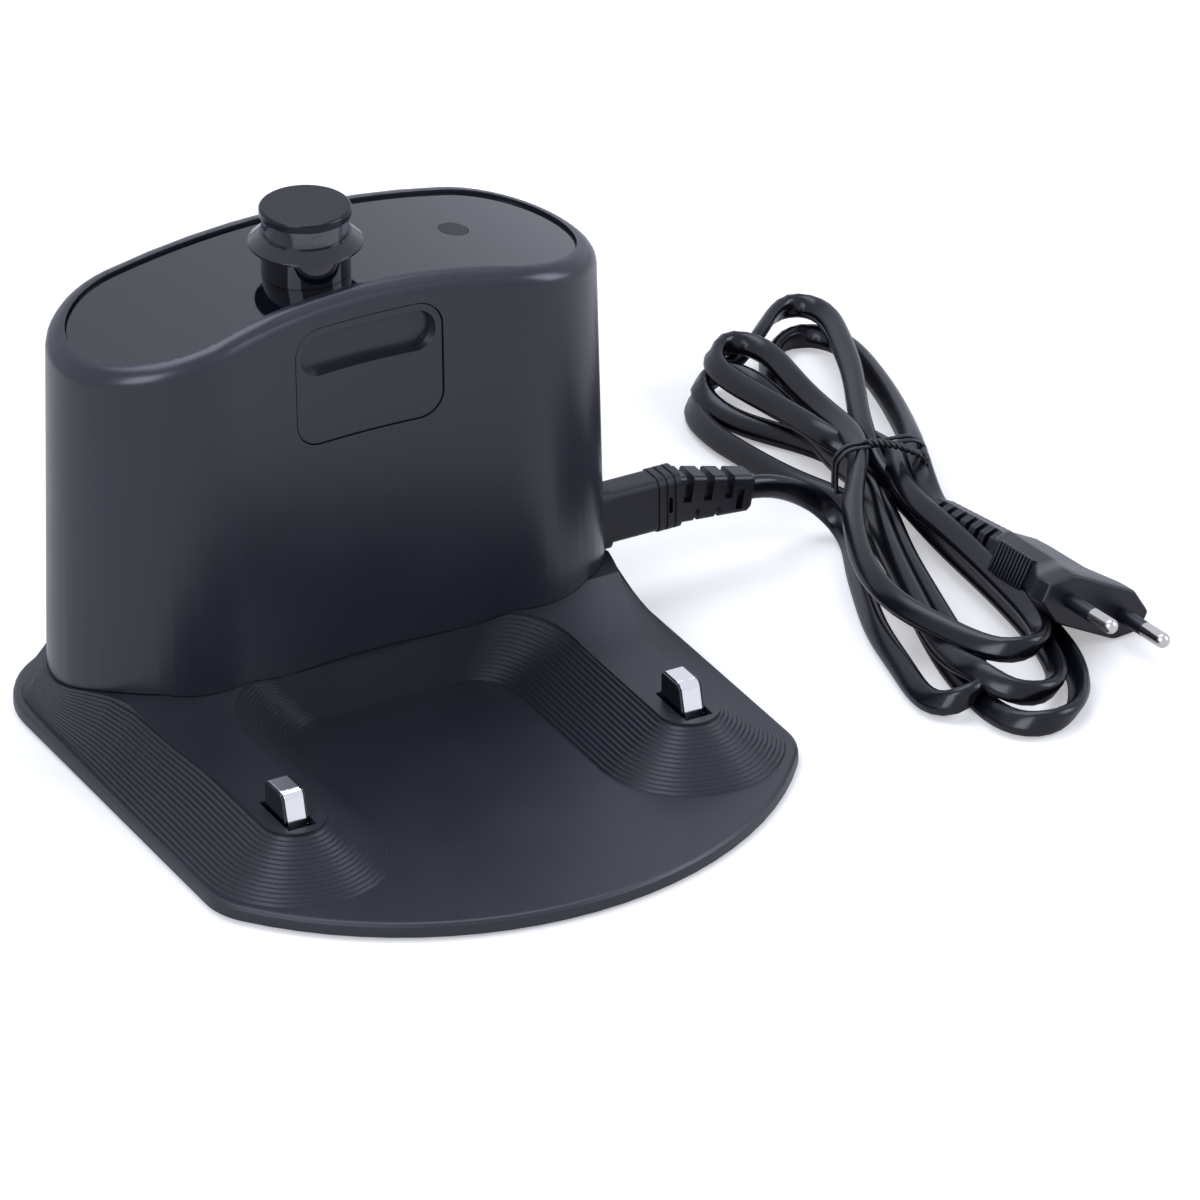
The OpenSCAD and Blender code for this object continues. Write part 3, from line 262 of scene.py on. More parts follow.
smoky_lens = clear("smoky_polycarbonate", "#b9bec8", 0.05, 1.585, 0.95)
dark_lens = clear("dark_light_window", "#101114", 0.1, 1.3, 0.35)
board_green = moulded("solder_masked_board", "#1f5236", "#255c3d", 0.32, 1.5, 0.02, ior=1.5)
ferrite = moulded("sintered_ferrite", "#2c2b2c", "#353436", 0.6, 0.3, 0.05)
sleeve_blue = moulded("shrink_sleeved_can", "#22335e", "#293c6b", 0.3, 2.0, 0.01)
epoxy_black = moulded("moulded_epoxy_case", "#17181b", "#1e1f22", 0.55, 0.3, 0.03)
emitter_epoxy = moulded("tinted_emitter_epoxy", "#2a3140", "#333b4c", 0.15, 3.0, 0.005)
status_epoxy = moulded("milky_status_epoxy", "#8fb596", "#9cc2a3", 0.2, 3.0, 0.005)
tie_plastic = moulded("tie_wire_plastic", "#0d0d10", "#131317", 0.3, 0.8, 0.02, edge=0.1)
print("materials:", len(bpy.data.materials))


# %% [markdown]
# ## The cord's route
# The cord is a flat flex, 6.6 mm wide and 3.6 mm thick. It leaves the tower's end through a
# strain relief, falls to the floor, runs up and down in a hank of ten folded lengths, and
# ends in the plug. The points were read off the photograph run by run, each with
# the height of the layer that it lies in.

# %% Route of the cord, in millimetres
cord_wide, cord_thick = 6.6, 3.6
route_text = """
118.4 46.7 21.75, 124 47.2 20.4, 132 48.6 15.4, 141 51 8.6, 147 47 3.4,
143 37 2.2, 135 16 2.2, 127 -5 2.2, 123 -26 2.2, 121.5 -43 2.2, 127 -51 3, 133 -45 4.5,
138 -27 5, 143 -4 5, 148 19 5, 156 42 4,
166 68 2,
164 84 2, 157 98 2, 150 110 2.5, 147 118 4, 149 125 5.5, 156 129 6, 162 120 5.5, 162 94 5.5,
162 66 5.8,
152 36 7, 144 12 7, 137 -12 6.5, 132 -35 6, 134 -49 5.5, 138 -57 5, 145 -58 5, 153 -49 5,
158 -33 5, 161 -9 5, 163 23 5,
167 57 5.8,
169 74 9, 176 89 10.5, 184 106 11, 191 127 10.5, 192 147 9.5, 181 143 9, 169 133 8,
161 132 4.5, 152 129 2.2, 145 119 2.2, 142 105 2.2, 145 87 2.2, 149 68 2.2,
155 55 2.2,
151 29 2.2, 144 5 2.2, 136 -21 2.2, 132 -44 2.2, 133 -59 2.2, 138 -68 2.2, 148 -64 2.2,
156 -56 2.2, 163 -39 2.2, 166 -18 2.2, 169 12 2.2, 171 38 2.2,
174 65 2.2,
164 69 9, 160 84 10, 156 102 10.5, 153.5 119 11, 155 128 11.5, 161.5 133 12, 167 125 12,
167 107 11, 167 91 10,
162 65 13,
148 43 13.5, 137 23 13, 131 5 12.5, 130 -12 11.5, 135 -25 10.5, 140 -36 10, 145 -44 9.5,
152 -42 9.5, 158 -29 10, 161 -7 10, 163 24 10,
166 54 9.6,
172 83 5.5, 171 104 3, 171 122 2.2, 176 135 2.2, 185 142 2.2, 194 141 2.2, 196 126 3,
192 105 5, 184 80 8, 174 55 12,
170 43 11.5, 168.3 37 10, 167.9 33 9.4, 168.2 28 9.6
"""
route = np.array([[float(v) for v in spot.split()] for spot in route_text.split(",")])
print("hand-read points:", len(route))


# %% [markdown]
# ## Letting the cord settle
# A curve straight through those points would have kinks, and runs that cut each other. So the
# route is first a Catmull-Rom curve, sampled every 3 mm, and then settles like a real flex: its
# stiffness opens the folds, runs that touch push each other apart, the floor holds them up,
# and its length doesn't change. A weak pull keeps each run where the photograph has it.

# %% Smooth and settle
cord_step = 3.0
floor_gap = 0.05
settle_rounds, bend_passes = 180, 3
# points nearer than this along the line don't push each other apart
neighbours = 6
# shares of an overlap and of a wrong length that one round takes away
push_share, length_share = 0.25, 0.4
# points at the two ends that stay where the connector and the plug hold them
held_start, held_end = 3, 4
tiny = 1e-6


def through(points, step):
    ends = np.vstack([2 * points[0] - points[1], points, 2 * points[-1] - points[-2]])
    pieces = []
    for p0, p1, p2, p3 in zip(ends, ends[1:], ends[2:], ends[3:]):
        gaps = [np.linalg.norm(b - a) ** 0.5 for a, b in ((p0, p1), (p1, p2), (p2, p3))]
        t0, t1, t2, t3 = np.cumsum([0] + gaps)
        t = np.linspace(t1, t2, max(4, int(np.linalg.norm(p2 - p1))), endpoint=False)[:, None]
        a1 = ((t1 - t) * p0 + (t - t0) * p1) / (t1 - t0)
        a2 = ((t2 - t) * p1 + (t - t1) * p2) / (t2 - t1)
        a3 = ((t3 - t) * p2 + (t - t2) * p3) / (t3 - t2)
        b1 = ((t2 - t) * a1 + (t - t0) * a2) / (t2 - t0)
        b2 = ((t3 - t) * a2 + (t - t1) * a3) / (t3 - t1)
        pieces.append(((t2 - t) * b1 + (t - t1) * b2) / (t2 - t1))
    return spaced(np.vstack(pieces + [points[-1:]]), step)


def spaced(line, step):
    run = np.concatenate([[0], np.cumsum(np.linalg.norm(np.diff(line, axis=0), axis=1))])
    even = np.linspace(0, run[-1], int(round(run[-1] / step)) + 1)
    return np.stack([np.interp(even, run, line[:, k]) for k in range(3)], 1)


def settled(first, rounds, wide, thick, hold=0.006, stiff=0.055):
    line = first.copy()
    rest = np.linalg.norm(np.diff(first, axis=0), axis=1).mean()
    low, high = np.triu_indices(len(line), neighbours)
    scale = 1 / np.array([wide, wide, thick])
    for _ in range(rounds):
        gap = (line[high] - line[low]) * scale
        far = np.linalg.norm(gap, axis=1)
        near = far < 1
        push = np.zeros_like(line)
        move = (1 - far[near])[:, None] * gap[near] / np.maximum(far[near], tiny)[:, None] / scale
        np.add.at(push, high[near], push_share * move)
        np.add.at(push, low[near], -push_share * move)
        size = np.linalg.norm(push, axis=1, keepdims=True)
        line += push * np.minimum(1, 1 / np.maximum(size, tiny))
        for _ in range(bend_passes):
            curve = np.zeros_like(line)
            curve[1:-1] = line[:-2] + line[2:] - 2 * line[1:-1]
            line[1:-1] -= stiff * (curve[:-2] + curve[2:] - 2 * curve[1:-1])
        line += hold * (first - line)
        edge = np.diff(line, axis=0)
        long = np.linalg.norm(edge, axis=1, keepdims=True)
        line[:-1] += length_share * (long - rest) / long * edge
        line[1:] -= length_share * (long - rest) / long * edge
        line[:, 2] = np.maximum(line[:, 2], thick / 2 + floor_gap)
        line[:held_start], line[-held_end:] = first[:held_start], first[-held_end:]
    return line


first_line = through(route, cord_step)
# a flex that leans takes less width beside its neighbour, and its skin needs a hair of air
cord_line = settled(first_line, settle_rounds, cord_wide - 0.9, cord_thick + 0.1)


# %% [markdown]
# ## The cord's skin
# A round bevel on a curve can't give a flat flex, so the skin is a mesh: a section with
# two round edges, carried along the line. A flat flex bends easily only over its broad side,
# so it stands on edge in each fold and leans over on the straight runs between them. One
# rule gives that roll: upright where the line heads across the hank, and leaning by the
# same way on every run along it. The last stretch rolls on to the plug's own tilt. A leaning
# flex needs more height, so the line is lifted by as much. It rides on the dock, and stands
# for the three plain CAD solids that hold its place for collisions.

# %% A tube from rings, and the cord
def as_mesh(name, points, faces):
    mesh = bpy.data.meshes.new(name)
    mesh.from_pydata([Vector(p) * MM for p in points], [], faces)
    mesh.validate()
    return mesh


def ring_faces(rings, around, closed=True):
    faces = []
    for start in range(0, (rings - 1) * around, around):
        for i in range(around):
            j = (i + 1) % around
            faces.append((start + i, start + j, start + around + j, start + around + i))
    if closed:
        faces.append(tuple(range(around))[::-1])
        faces.append(tuple((rings - 1) * around + i for i in range(around)))
    return faces


def outward(mesh):
    shape = bmesh.new()
    shape.from_mesh(mesh)
    bmesh.ops.remove_doubles(shape, verts=shape.verts, dist=0.001 * MM)
    bmesh.ops.recalc_face_normals(shape, faces=shape.faces)
    shape.to_mesh(mesh)
    shape.free()
    return mesh


def shown(name, mesh, material, body, crease=30.0):
    mesh.shade_smooth()
    mesh.set_sharp_from_angle(angle=math.radians(crease))
    mesh.materials.clear()
    mesh.materials.append(material)
    piece = bpy.data.objects.new(name, mesh)
    bpy.context.scene.collection.objects.link(piece)
    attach(piece, body)
    return piece


def flat_section(wide, thick, steps=5):
    half = (wide - thick) / 2
    turn = np.radians(np.linspace(-90, 90, steps + 1))
    right = np.stack([half + thick / 2 * np.cos(turn), thick / 2 * np.sin(turn)], 1)
    return np.vstack([right, -right])


def placed(line, wide_way, high_way, section):
    points = line[:, None] + wide_way[:, None] * section[None, :, :1]
    points = points + high_way[:, None] * section[None, :, 1:]
    return points.reshape(-1, 3)


def swept(name, line, section, roll):
    ahead = np.gradient(line, axis=0)
    ahead /= np.linalg.norm(ahead, axis=1, keepdims=True)
    side = np.cross(ahead, [0, 0, 1])
    side /= np.linalg.norm(side, axis=1, keepdims=True)
    above = np.cross(side, ahead)
    turn = np.radians(roll)[:, None]
    broad = np.cos(turn) * side + np.sin(turn) * above
    thin = np.cos(turn) * above - np.sin(turn) * side
    points = placed(line, broad, thin, section)
    return outward(as_mesh(name, points, ring_faces(len(line), len(section))))


# degrees: how far a run leans over, and how far the plug lies over
run_lean = 40.0
plug_lean = 29.0
plug_roll = 180.0 + plug_lean
# points of the line over which the roll turns to the plug's, and the lift starts and ends
plug_blend = 12
heading = np.gradient(cord_line[:, :2], axis=0)
heading /= np.linalg.norm(heading, axis=1, keepdims=True)
cord_roll = 90.0 - (90.0 - run_lean) * heading[:, 1]
share = np.linspace(0, 1, plug_blend)
share = share * share * (3 - 2 * share)
cord_roll[-plug_blend:] = cord_roll[-plug_blend] * (1 - share) + plug_roll * share
place = np.arange(len(cord_line))
free = np.minimum(1, np.minimum(place, place[::-1]) / plug_blend)
cord_line[:, 2] += free * (cord_wide - cord_thick) / 2 * np.abs(np.sin(np.radians(cord_roll)))
cord_mesh = swept("mains_cord", cord_line, flat_section(cord_wide, cord_thick), cord_roll)
cord = shown("mains_cord", cord_mesh, cord_pvc, "dock", 60)
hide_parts("lead_cord", "cord_hank", "tail_cord")
print("cord faces:", len(cord_mesh.polygons))


# %% [markdown]
# ## Dressing the CAD's own solids
# Where the CAD solid already has the real shape, the visible piece is a copy of it. The
# frame's triangles are loose, so the copy is merged, its flat faces are joined, and smooth
# shading with sharp creases brings out the curves. Weighted normals keep large faces flat.

# %% Dressed copies
def dressed(node, material, crease=28.0, bevel=0.0):
    source = frame["nodes"][node]
    shape = bmesh.new()
    shape.from_mesh(source.data)
    bmesh.ops.remove_doubles(shape, verts=shape.verts, dist=0.002 * MM)
    # triangles that lie within this angle are one flat face
    flat = math.radians(0.3)
    bmesh.ops.dissolve_limit(shape, angle_limit=flat, verts=shape.verts, edges=shape.edges)
    shape.verts.index_update()
    corners = [v.co / MM for v in shape.verts]
    faces = [[v.index for v in f.verts] for f in shape.faces]
    shape.free()
    mesh = as_mesh(node + "_skin", corners, faces)
    piece = shown(node + "_skin", mesh, material, source["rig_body"], crease)
    if bevel:
        rounding = piece.modifiers.new("moulded_edges", "BEVEL")
        rounding.width = bevel * MM
        rounding.segments = 2
        rounding.limit_method = "ANGLE"
        rounding.angle_limit = math.radians(crease)
        rounding.harden_normals = False
    even = piece.modifiers.new("even_normals", "WEIGHTED_NORMAL")
    even.keep_sharp = True
    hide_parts(node)
    return piece


dressed("tower_shell", satin_abs, 28)
dressed("base_tray", textured_abs, 22)
dressed("signal_window", satin_abs, 14)
dressed("top_cover", polished_abs, 24)
dressed("beacon_collar", polished_abs, 24)
dressed("beacon_lens", smoky_lens, 24)
dressed("beacon_cap", cap_abs, 24)
dressed("led_lens", dark_lens, 24)
dressed("connector", soft_pvc, 24)
for side in ("left", "right"):
    dressed("contact_carrier_" + side, polished_abs, 24, 0.15)
    dressed("contact_strap_" + side, contact_nickel, 24, 0.08)
dressed("plug_pins", pin_nickel, 24)

# %% [markdown]
# ## The contacts' springs
# A coil spring stands under each carrier. Its upper end moves with the carrier and its lower
# end stays on the bottom plate. Each spring is a dressed copy of the CAD solid, with a mesh of
# its own.

# %% Springs
for side in ("left", "right"):
    coil = dressed("contact_spring_" + side, zinc_steel, 40)
    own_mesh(coil)

# %% [markdown]
# ## Finishes of the parts inside and below
# The rest of the CAD nodes stay as they are, with the finish of the real part.

# %% Finishes by node
finish_of = {
    "beacon_reflector": reflector_foil,
    "signal_board": board_green,
    "beacon_emitter": emitter_epoxy,
    "status_led": status_epoxy,
    "window_board": board_green,
    "window_emitters": emitter_epoxy,
    "bottom_plate": textured_abs,
    "bottom_screws": zinc_steel,
    "rubber_feet": foot_rubber,
    "main_board": board_green,
    "transformer_core": ferrite,
    "transformer_winding": winding_copper,
    "main_capacitor": sleeve_blue,
    "output_capacitors": sleeve_blue,
    "bridge_rectifier": epoxy_black,
    "inlet_socket": soft_pvc,
    "inlet_pins": pin_nickel,
}
for node, material in finish_of.items():
    part = frame["nodes"][node]
    part.data.materials.clear()
    part.data.materials.append(material)
print("CAD nodes with a finish:", len(finish_of))


# %% [markdown]
# ## The plug
# A flat European plug: a thin six-sided face, shoulders that close to a raised block, ribbed
# grips on the block's sides, a neck and a slotted strain relief. It is lofted: each section
# is the six-sided outline with its corners cut twice, and the slots are sections that step
# in on one side. Its frame is the CAD's: it lies tilted, one edge on the floor.

# %% Sections of the plug
plug_at = np.array([173.4, -35.4, 11.9])
about_x, about_y, about_z = (math.radians(a) for a in (-2.5, plug_lean, 3.6))
turned = Matrix.Rotation(about_z, 3, "Z") @ Matrix.Rotation(about_y, 3, "Y")
plug_axes = np.array(turned @ Matrix.Rotation(about_x, 3, "X"))
corner_cut = 0.05


def on_plug(points):
    return np.asarray(points, float) @ plug_axes.T + plug_at


def six_sided(wide, flat, side, high, cuts=2):
    loop = np.array(
        [
            [-flat, -high],
            [flat, -high],
            [wide, -side],
            [wide, side],
            [flat, high],
            [-flat, high],
            [-wide, side],
            [-wide, -side],
        ]
    )
    loop = loop / 2
    for _ in range(cuts):
        after = np.roll(loop, -1, axis=0)
        near = (1 - corner_cut) * loop + corner_cut * after
        far = corner_cut * loop + (1 - corner_cut) * after
        loop = np.stack([near, far], 1).reshape(-1, 2)
    return loop


def plug_ring(y, wide, flat, side, high, pinch=0.0):
    loop = six_sided(wide, flat, side, high)
    if pinch > 0:
        loop[:, 0] = np.minimum(loop[:, 0], wide / 2 - pinch)
    if pinch < 0:
        loop[:, 0] = np.maximum(loop[:, 0], -wide / 2 - pinch)
    return np.stack([loop[:, 0], np.full(len(loop), y), loop[:, 1]], 1)


# each section: distance from the face, width, width of the flat, height of the side, height
face_size = np.array([35.3, 21.0, 5.4, 13.7])
block_size = np.array([22.6, 11.4, 6.2, 12.4])
neck_size = np.array([12.4, 7.4, 4.4, 9.4])
relief_taper = np.array([3.6, 2.2, 1.6, 3.4])
face_sections = [
    (0.0, 33.7, 20.4, 4.6, 12.3),
    (0.25, 34.6, 20.8, 5.1, 13.1),
    (0.9, *face_size),
    (5.0, *face_size),
]
neck_sections = [
    (30.5, 21.4, 11.0, 6.4, 12.2),
    (31.6, 17.4, 10.2, 6.2, 12.2),
    (35.0, 16.0, 9.6, 6.0, 12.0),
    (36.8, 15.0, 9.0, 5.5, 11.2),
    (37.8, 13.4, 8.0, 4.8, 10.4),
    (38.0, *neck_size),
]
tip_sections = [(67.4, 8.8, 5.2, 2.8, 6.0), (68.0, 8.0, 4.6, 2.3, 5.2)]

rings = [plug_ring(*section) for section in face_sections]
shoulder_start, shoulder_long, shoulder_steps = 5.0, 11.0, 9
for step in range(1, shoulder_steps + 1):
    t = step / shoulder_steps
    fall = 0.5 - 0.5 * math.cos(math.pi * t)
    share = np.array([0.55 * t + 0.45 * fall, fall, t, t])
    size = face_size + (block_size - face_size) * share
    rings.append(plug_ring(shoulder_start + shoulder_long * t, *size))
rings += [plug_ring(*section) for section in neck_sections]
print("sections up to the neck:", len(rings))

# %% Slots of its strain relief
relief_start, relief_long = 38.0, 30.0
slot_start, slot_pitch, slot_long, slot_count = 40.2, 2.25, 1.8, 12
slot_deep, slot_edge = 2.6, 0.02
for k in range(slot_count):
    y = slot_start + k * slot_pitch
    t = (y - relief_start) / relief_long
    size = neck_size - relief_taper * t
    # odd slots step in on one side and even ones on the other
    pinch = slot_deep - t if k % 2 else t - slot_deep
    rings += [
        plug_ring(y, *size),
        plug_ring(y + slot_edge, *size, pinch),
        plug_ring(y + slot_long - slot_edge, *size, pinch),
        plug_ring(y + slot_long, *size),
    ]
rings += [plug_ring(*section) for section in tip_sections]
plug_points = on_plug(np.vstack(rings))
plug_mesh = outward(as_mesh("mains_plug", plug_points, ring_faces(len(rings), len(rings[0]))))
plug = shown("mains_plug", plug_mesh, soft_pvc, "dock", 35)
plug.modifiers.new("even_normals", "WEIGHTED_NORMAL").keep_sharp = True
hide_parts("plug_body")
print("plug rings:", len(rings))


# %% [markdown]
# ## Ribs on the plug's grips
# The grips are rows of small raised ribs on both sides of the block. They are the same shape
# again and again along a line, which is work for Geometry Nodes: a line of points, a box on
# each, and a mirrored copy for the other side. The tree's inputs are its sizes.

# %% Geometry Nodes helper and the rib tree
def tree_with(name, sizes):
    tree = bpy.data.node_groups.new(name, "GeometryNodeTree")
    tree.interface.new_socket("Geometry", in_out="INPUT", socket_type="NodeSocketGeometry")
    for label, (kind, value) in sizes.items():
        socket = tree.interface.new_socket(label, in_out="INPUT", socket_type="NodeSocket" + kind)
        socket.default_value = value
    tree.interface.new_socket("Material", in_out="INPUT", socket_type="NodeSocketMaterial")
    tree.interface.new_socket("Geometry", in_out="OUTPUT", socket_type="NodeSocketGeometry")
    return tree, tree.nodes.new("NodeGroupInput").outputs, tree.nodes.new("NodeGroupOutput")


def grown(name, tree, material):
    """The tree's result as a plain mesh, still in its own frame."""
    carrier = bpy.data.objects.new(name, bpy.data.meshes.new(name))
    bpy.context.scene.collection.objects.link(carrier)
    modifier = carrier.modifiers.new("grown", "NODES")
    modifier.node_group = tree
    for item in tree.interface.items_tree:
        if item.in_out == "INPUT" and item.socket_type == "NodeSocketMaterial":
            modifier[item.identifier] = material
    graph = bpy.context.evaluated_depsgraph_get()
    graph.update()
    mesh = bpy.data.meshes.new_from_object(carrier.evaluated_get(graph))
    bpy.data.objects.remove(carrier)
    return mesh


ribs, given, result = tree_with(
    "ribbed_grips",
    {
        "Count": ("Int", 11),
        "Pitch": ("Float", 1.3 * MM),
        "Half width": ("Float", 10.9 * MM),
        "Rib": ("Vector", (2.2 * MM, 0.8 * MM, 8.6 * MM)),
    },
)
gap = add(ribs, "ShaderNodeCombineXYZ", {"Y": given["Pitch"]})
rib_box = add(ribs, "GeometryNodeMeshCube", {"Size": given["Rib"]})
halves = []
for side in (1, -1):
    reach = add(
        ribs, "ShaderNodeMath", {0: given["Half width"], 1: float(side)}, operation="MULTIPLY"
    )
    start = add(ribs, "ShaderNodeCombineXYZ", {"X": reach.outputs[0]})
    row = add(
        ribs,
        "GeometryNodeMeshLine",
        {
            "Count": given["Count"],
            "Start Location": start.outputs["Vector"],
            "Offset": gap.outputs["Vector"],
        },
    )
    halves.append(
        add(
            ribs,
            "GeometryNodeInstanceOnPoints",
            {"Points": row.outputs["Mesh"], "Instance": rib_box.outputs["Mesh"]},
        )
    )
both = add(ribs, "GeometryNodeJoinGeometry")
for half in halves:
    ribs.links.new(half.outputs["Instances"], both.inputs["Geometry"])
real = add(ribs, "GeometryNodeRealizeInstances", {"Geometry": both.outputs["Geometry"]})
coated = add(
    ribs,
    "GeometryNodeSetMaterial",
    {"Geometry": real.outputs["Geometry"], "Material": given["Material"]},
)
ribs.links.new(coated.outputs["Geometry"], result.inputs["Geometry"])

grip_start = np.array([0.0, 16.6, 0.0])
rib_mesh = grown("plug_grips", ribs, soft_pvc)
for v in rib_mesh.vertices:
    v.co = Vector(on_plug(np.array(v.co) / MM + grip_start)) * MM
grips = shown("plug_grips", outward(rib_mesh), soft_pvc, "dock", 30)
rounding = grips.modifiers.new("moulded_edges", "BEVEL")
rounding.width = 0.2 * MM
rounding.segments = 2
box_faces = 6
print("ribs:", len(rib_mesh.polygons) // box_faces)


# %% [markdown]
# ## The pins' sleeves
# Each pin has a black sleeve next to the plug's face, so that a finger can't touch the
# metal. A profile spun round the pin's axis gives it.

# %% Sleeves
around = 40
pin_apart = 18.6
# radius and height along the pin; the first ring is inside the plug
sleeve_profile = [(2.0, 0.6), (2.0, -9.6), (1.9, -9.95), (1.6, -10.0)]


def spun(profile):
    turn = np.linspace(0, 2 * math.pi, around, endpoint=False)
    flat = [(r * np.cos(turn), np.full(around, h), r * np.sin(turn)) for r, h in profile]
    return np.array([np.stack(ring, 1) for ring in flat])


sleeve_parts = []
for side in (-1, 1):
    rings = spun(sleeve_profile)
    rings[:, :, 0] += side * pin_apart / 2
    sleeve_parts.append(on_plug(rings.reshape(-1, 3)))
one_sleeve = ring_faces(len(sleeve_profile), around)
second = len(sleeve_profile) * around
faces = one_sleeve + [tuple(i + second for i in f) for f in one_sleeve]
sleeve_mesh = outward(as_mesh("pin_sleeves", np.vstack(sleeve_parts), faces))
shown("pin_sleeves", sleeve_mesh, soft_pvc, "dock", 40)
print("sleeve faces:", len(sleeve_mesh.polygons))

# %% [markdown]
# ## The twist tie
# A plastic-coated wire holds the hank: it goes round twice, and its ends are twisted
# together and laid across the top. The loops are tubes on a rounded path round the bundle,
# and the twist is two helices.

# %% Twist tie
tie_at = np.array([165.0, 58.5, 0.0])
# the middles of the hank's two ends give its direction
near_end, far_end = np.array([139, -56]), np.array([173, 131])
bundle_x, bundle_y = far_end - near_end
bundle_turn = math.atan2(bundle_y, bundle_x) - math.pi / 2
across = np.array([math.cos(bundle_turn), math.sin(bundle_turn), 0])
along = np.array([-across[1], across[0], 0])
wire_r = 0.55
tie_half, tie_top, tie_corner, tie_low = 12.4, 17.2, 5.0, 0.8


def round_section(r, steps=10):
    turn = np.linspace(0, 2 * math.pi, steps, endpoint=False)
    return np.stack([r * np.cos(turn), r * np.sin(turn)], 1)


def loop_path(shift):
    path = []
    reach, high, low = tie_half - tie_corner, tie_top - tie_corner, tie_low + tie_corner
    centres = [(reach, low), (reach, high), (-reach, high), (-reach, low)]
    for (u, w), start in zip(centres, (-90, 0, 90, 180)):
        for a in np.radians(start + np.linspace(0, 90, 7)):
            beside = across * (u + tie_corner * math.cos(a)) + along * shift
            path.append(tie_at + beside + [0, 0, w + tie_corner * math.sin(a)])
    return np.array(path)


def tube(line, r, closed=False):
    line = np.asarray(line)
    if closed:
        ahead = np.roll(line, -1, axis=0) - np.roll(line, 1, axis=0)
    else:
        ahead = np.gradient(line, axis=0)
    ahead /= np.linalg.norm(ahead, axis=1, keepdims=True)
    side = np.cross(ahead, along)
    side /= np.linalg.norm(side, axis=1, keepdims=True)
    above = np.cross(side, ahead)
    section = round_section(r)
    faces = ring_faces(len(line), len(section), not closed)
    if closed:
        n, m = len(section), len(line)
        faces += [((m - 1) * n + i, (m - 1) * n + (i + 1) % n, (i + 1) % n, i) for i in range(n)]
    return placed(line, side, above, section), faces


loop_shift = 1.2
parts = [tube(loop_path(shift), wire_r, True) for shift in (-loop_shift, loop_shift)]
upward = np.array([0, 0, 1])
twist_turns, twist_steps, twist_r = 5.5, 64, 0.64
twist_start = tie_at - 4.0 * across + 17.6 * upward
twist_run = 14.0 * across - 8.0 * along
# the twist arches a little, falls over the bundle's side, and its ends spread from here on
twist_arch, twist_fall, spread_from, spread = 1.6, 2.6, 0.88, 7
for phase in (0, math.pi):
    t = np.linspace(0, 1, twist_steps)
    core = twist_start + np.outer(t, twist_run)
    core[:, 2] += twist_arch * np.sin(np.pi * t) - twist_fall * t
    angle = (2 * math.pi * twist_turns * t + phase)[:, None]
    apart = (twist_r + spread * np.clip(t - spread_from, 0, 1))[:, None]
    core += apart * (np.cos(angle) * along + np.sin(angle) * upward)
    parts.append(tube(core, wire_r))
points, faces, base = [], [], 0
for p, f in parts:
    faces += [tuple(i + base for i in face) for face in f]
    points.append(p)
    base += len(p)
tie_mesh = outward(as_mesh("wire_tie", np.vstack(points), faces))
tie = shown("wire_tie", tie_mesh, tie_plastic, "dock", 60)
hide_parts("twist_tie")
print("tie faces:", len(tie_mesh.polygons))
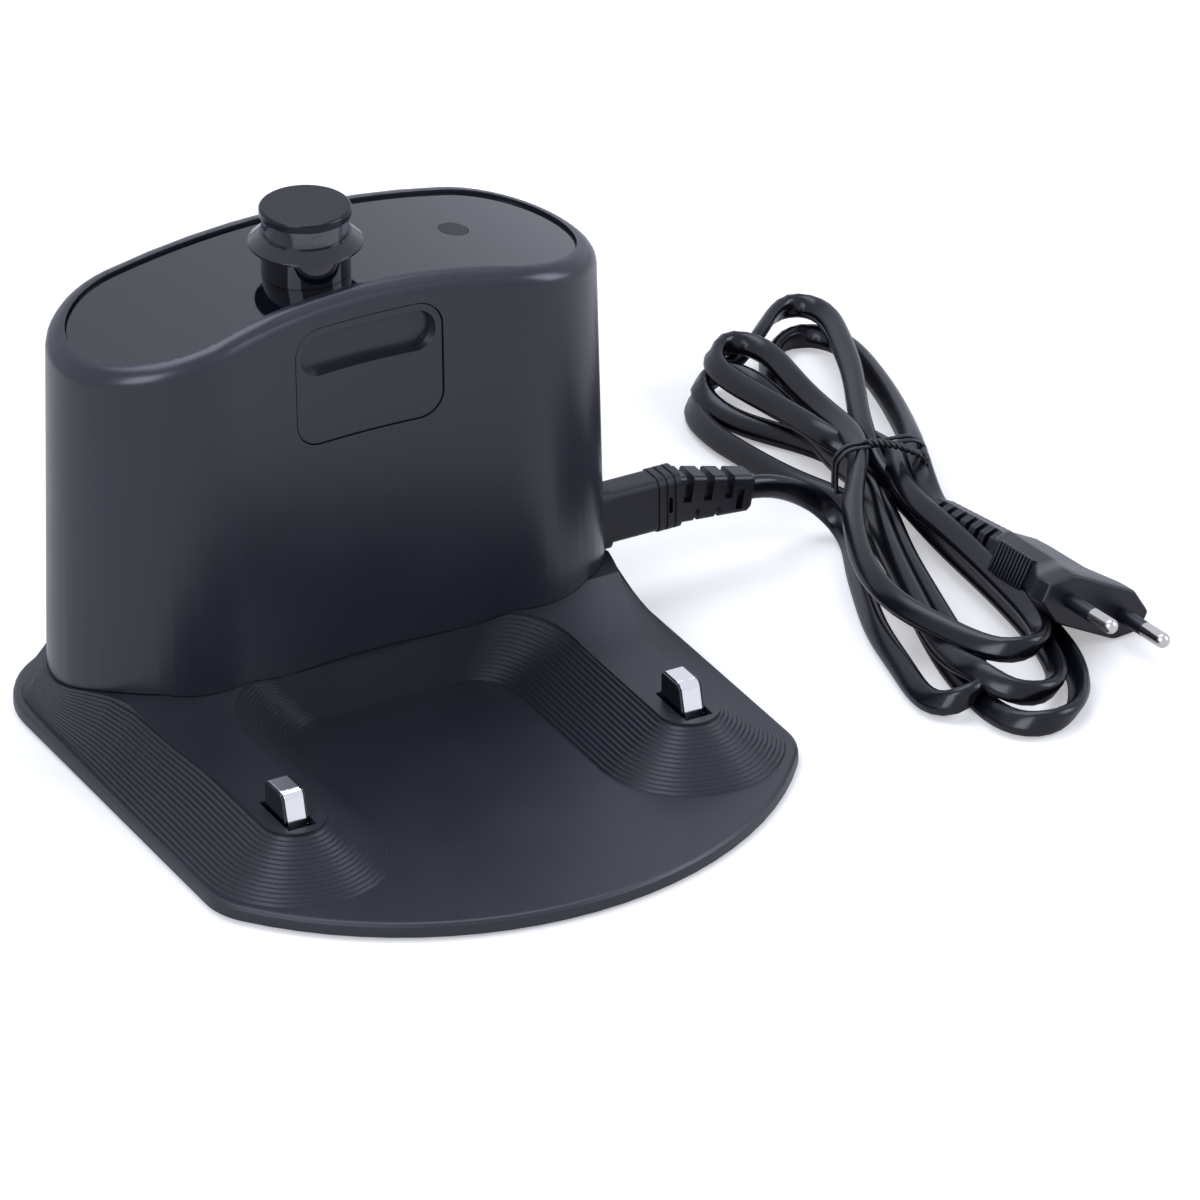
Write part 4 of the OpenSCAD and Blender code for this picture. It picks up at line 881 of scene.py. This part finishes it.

# %% [markdown]

# %% [markdown]
# ## Floor and light
# The floor is pale and matt. For the camera it also gives off a little light of its own,
# so that it meets the white background without a line and still keeps the dock's shadow.
# Large soft lamps stand left, right and above, and the world gives the rest.

# %% Floor
floor_mesh = bpy.data.meshes.new("studio_floor")
reach = 6.0
floor_drop = 0.0002
floor_glow = 0.36
corners = [(-reach, -reach, 0), (reach, -reach, 0), (reach, reach, 0), (-reach, reach, 0)]
floor_mesh.from_pydata(corners, [], [(0, 1, 2, 3)])
paper, tree, shader = started("pale_paper_floor")
shader.inputs["Base Color"].default_value = linear("#ebe9e2")
shader.inputs["Roughness"].default_value = 0.9
shader.inputs["Specular IOR Level"].default_value = 0.1
seen = add(tree, "ShaderNodeLightPath").outputs["Is Camera Ray"]
glow = add(tree, "ShaderNodeMath", {0: seen, 1: floor_glow}, operation="MULTIPLY")
tree.links.new(glow.outputs[0], shader.inputs["Emission Strength"])
shader.inputs["Emission Color"].default_value = linear("#ffffff")
floor_mesh.materials.append(paper)
floor = bpy.data.objects.new("studio_floor", floor_mesh)
bpy.context.scene.collection.objects.link(floor)
floor.location.z = -floor_drop


# %% Lamps and world
lamps_aim = Vector((0.03, 0, 0.05))


def soft_lamp(name, place, size, power, colour):
    light = bpy.data.lights.new(name, "AREA")
    light.shape = "RECTANGLE"
    light.size, light.size_y = size
    light.energy = power
    light.color = linear(colour)[:3]
    lamp = bpy.data.objects.new(name, light)
    place = Vector(place)
    aim = (lamps_aim - place).to_track_quat("-Z", "Y")
    lamp.matrix_world = Matrix.Translation(place) @ aim.to_matrix().to_4x4()
    bpy.context.scene.collection.objects.link(lamp)


daylight = "#e4e9ff"
soft_lamp("left_softbox", (-1.6, -0.9, 1.2), (1.2, 1.2), 24, daylight)
soft_lamp("right_softbox", (1.5, -0.9, 0.9), (0.9, 1.2), 17, daylight)
soft_lamp("top_softbox", (0.0, 0.6, 1.9), (1.6, 1.2), 22, daylight)

world_light = 0.42
world = bpy.data.worlds.new("white_studio")
bpy.context.scene.world = world
world.use_nodes = True
tree = world.node_tree
tree.nodes.clear()
rays = add(tree, "ShaderNodeLightPath").outputs
mirrored = add(
    tree,
    "ShaderNodeMath",
    {0: rays["Is Glossy Ray"], 1: rays["Is Transmission Ray"]},
    operation="MAXIMUM",
)
lit = add(tree, "ShaderNodeBackground", {"Color": linear("#e2e7fa"), "Strength": world_light})
room = add(tree, "ShaderNodeBackground", {"Color": linear("#e6eafa"), "Strength": 1.0})
white = add(tree, "ShaderNodeBackground", {"Color": linear("#ffffff"), "Strength": 1.0})
around_dock = add(
    tree,
    "ShaderNodeMixShader",
    {0: mirrored.outputs[0], 1: lit.outputs[0], 2: room.outputs[0]},
)
mixed = add(
    tree,
    "ShaderNodeMixShader",
    {0: rays["Is Camera Ray"], 1: around_dock.outputs[0], 2: white.outputs[0]},
)
add(tree, "ShaderNodeOutputWorld", {"Surface": mixed.outputs[0]})
bpy.context.scene.view_settings.view_transform = "Standard"
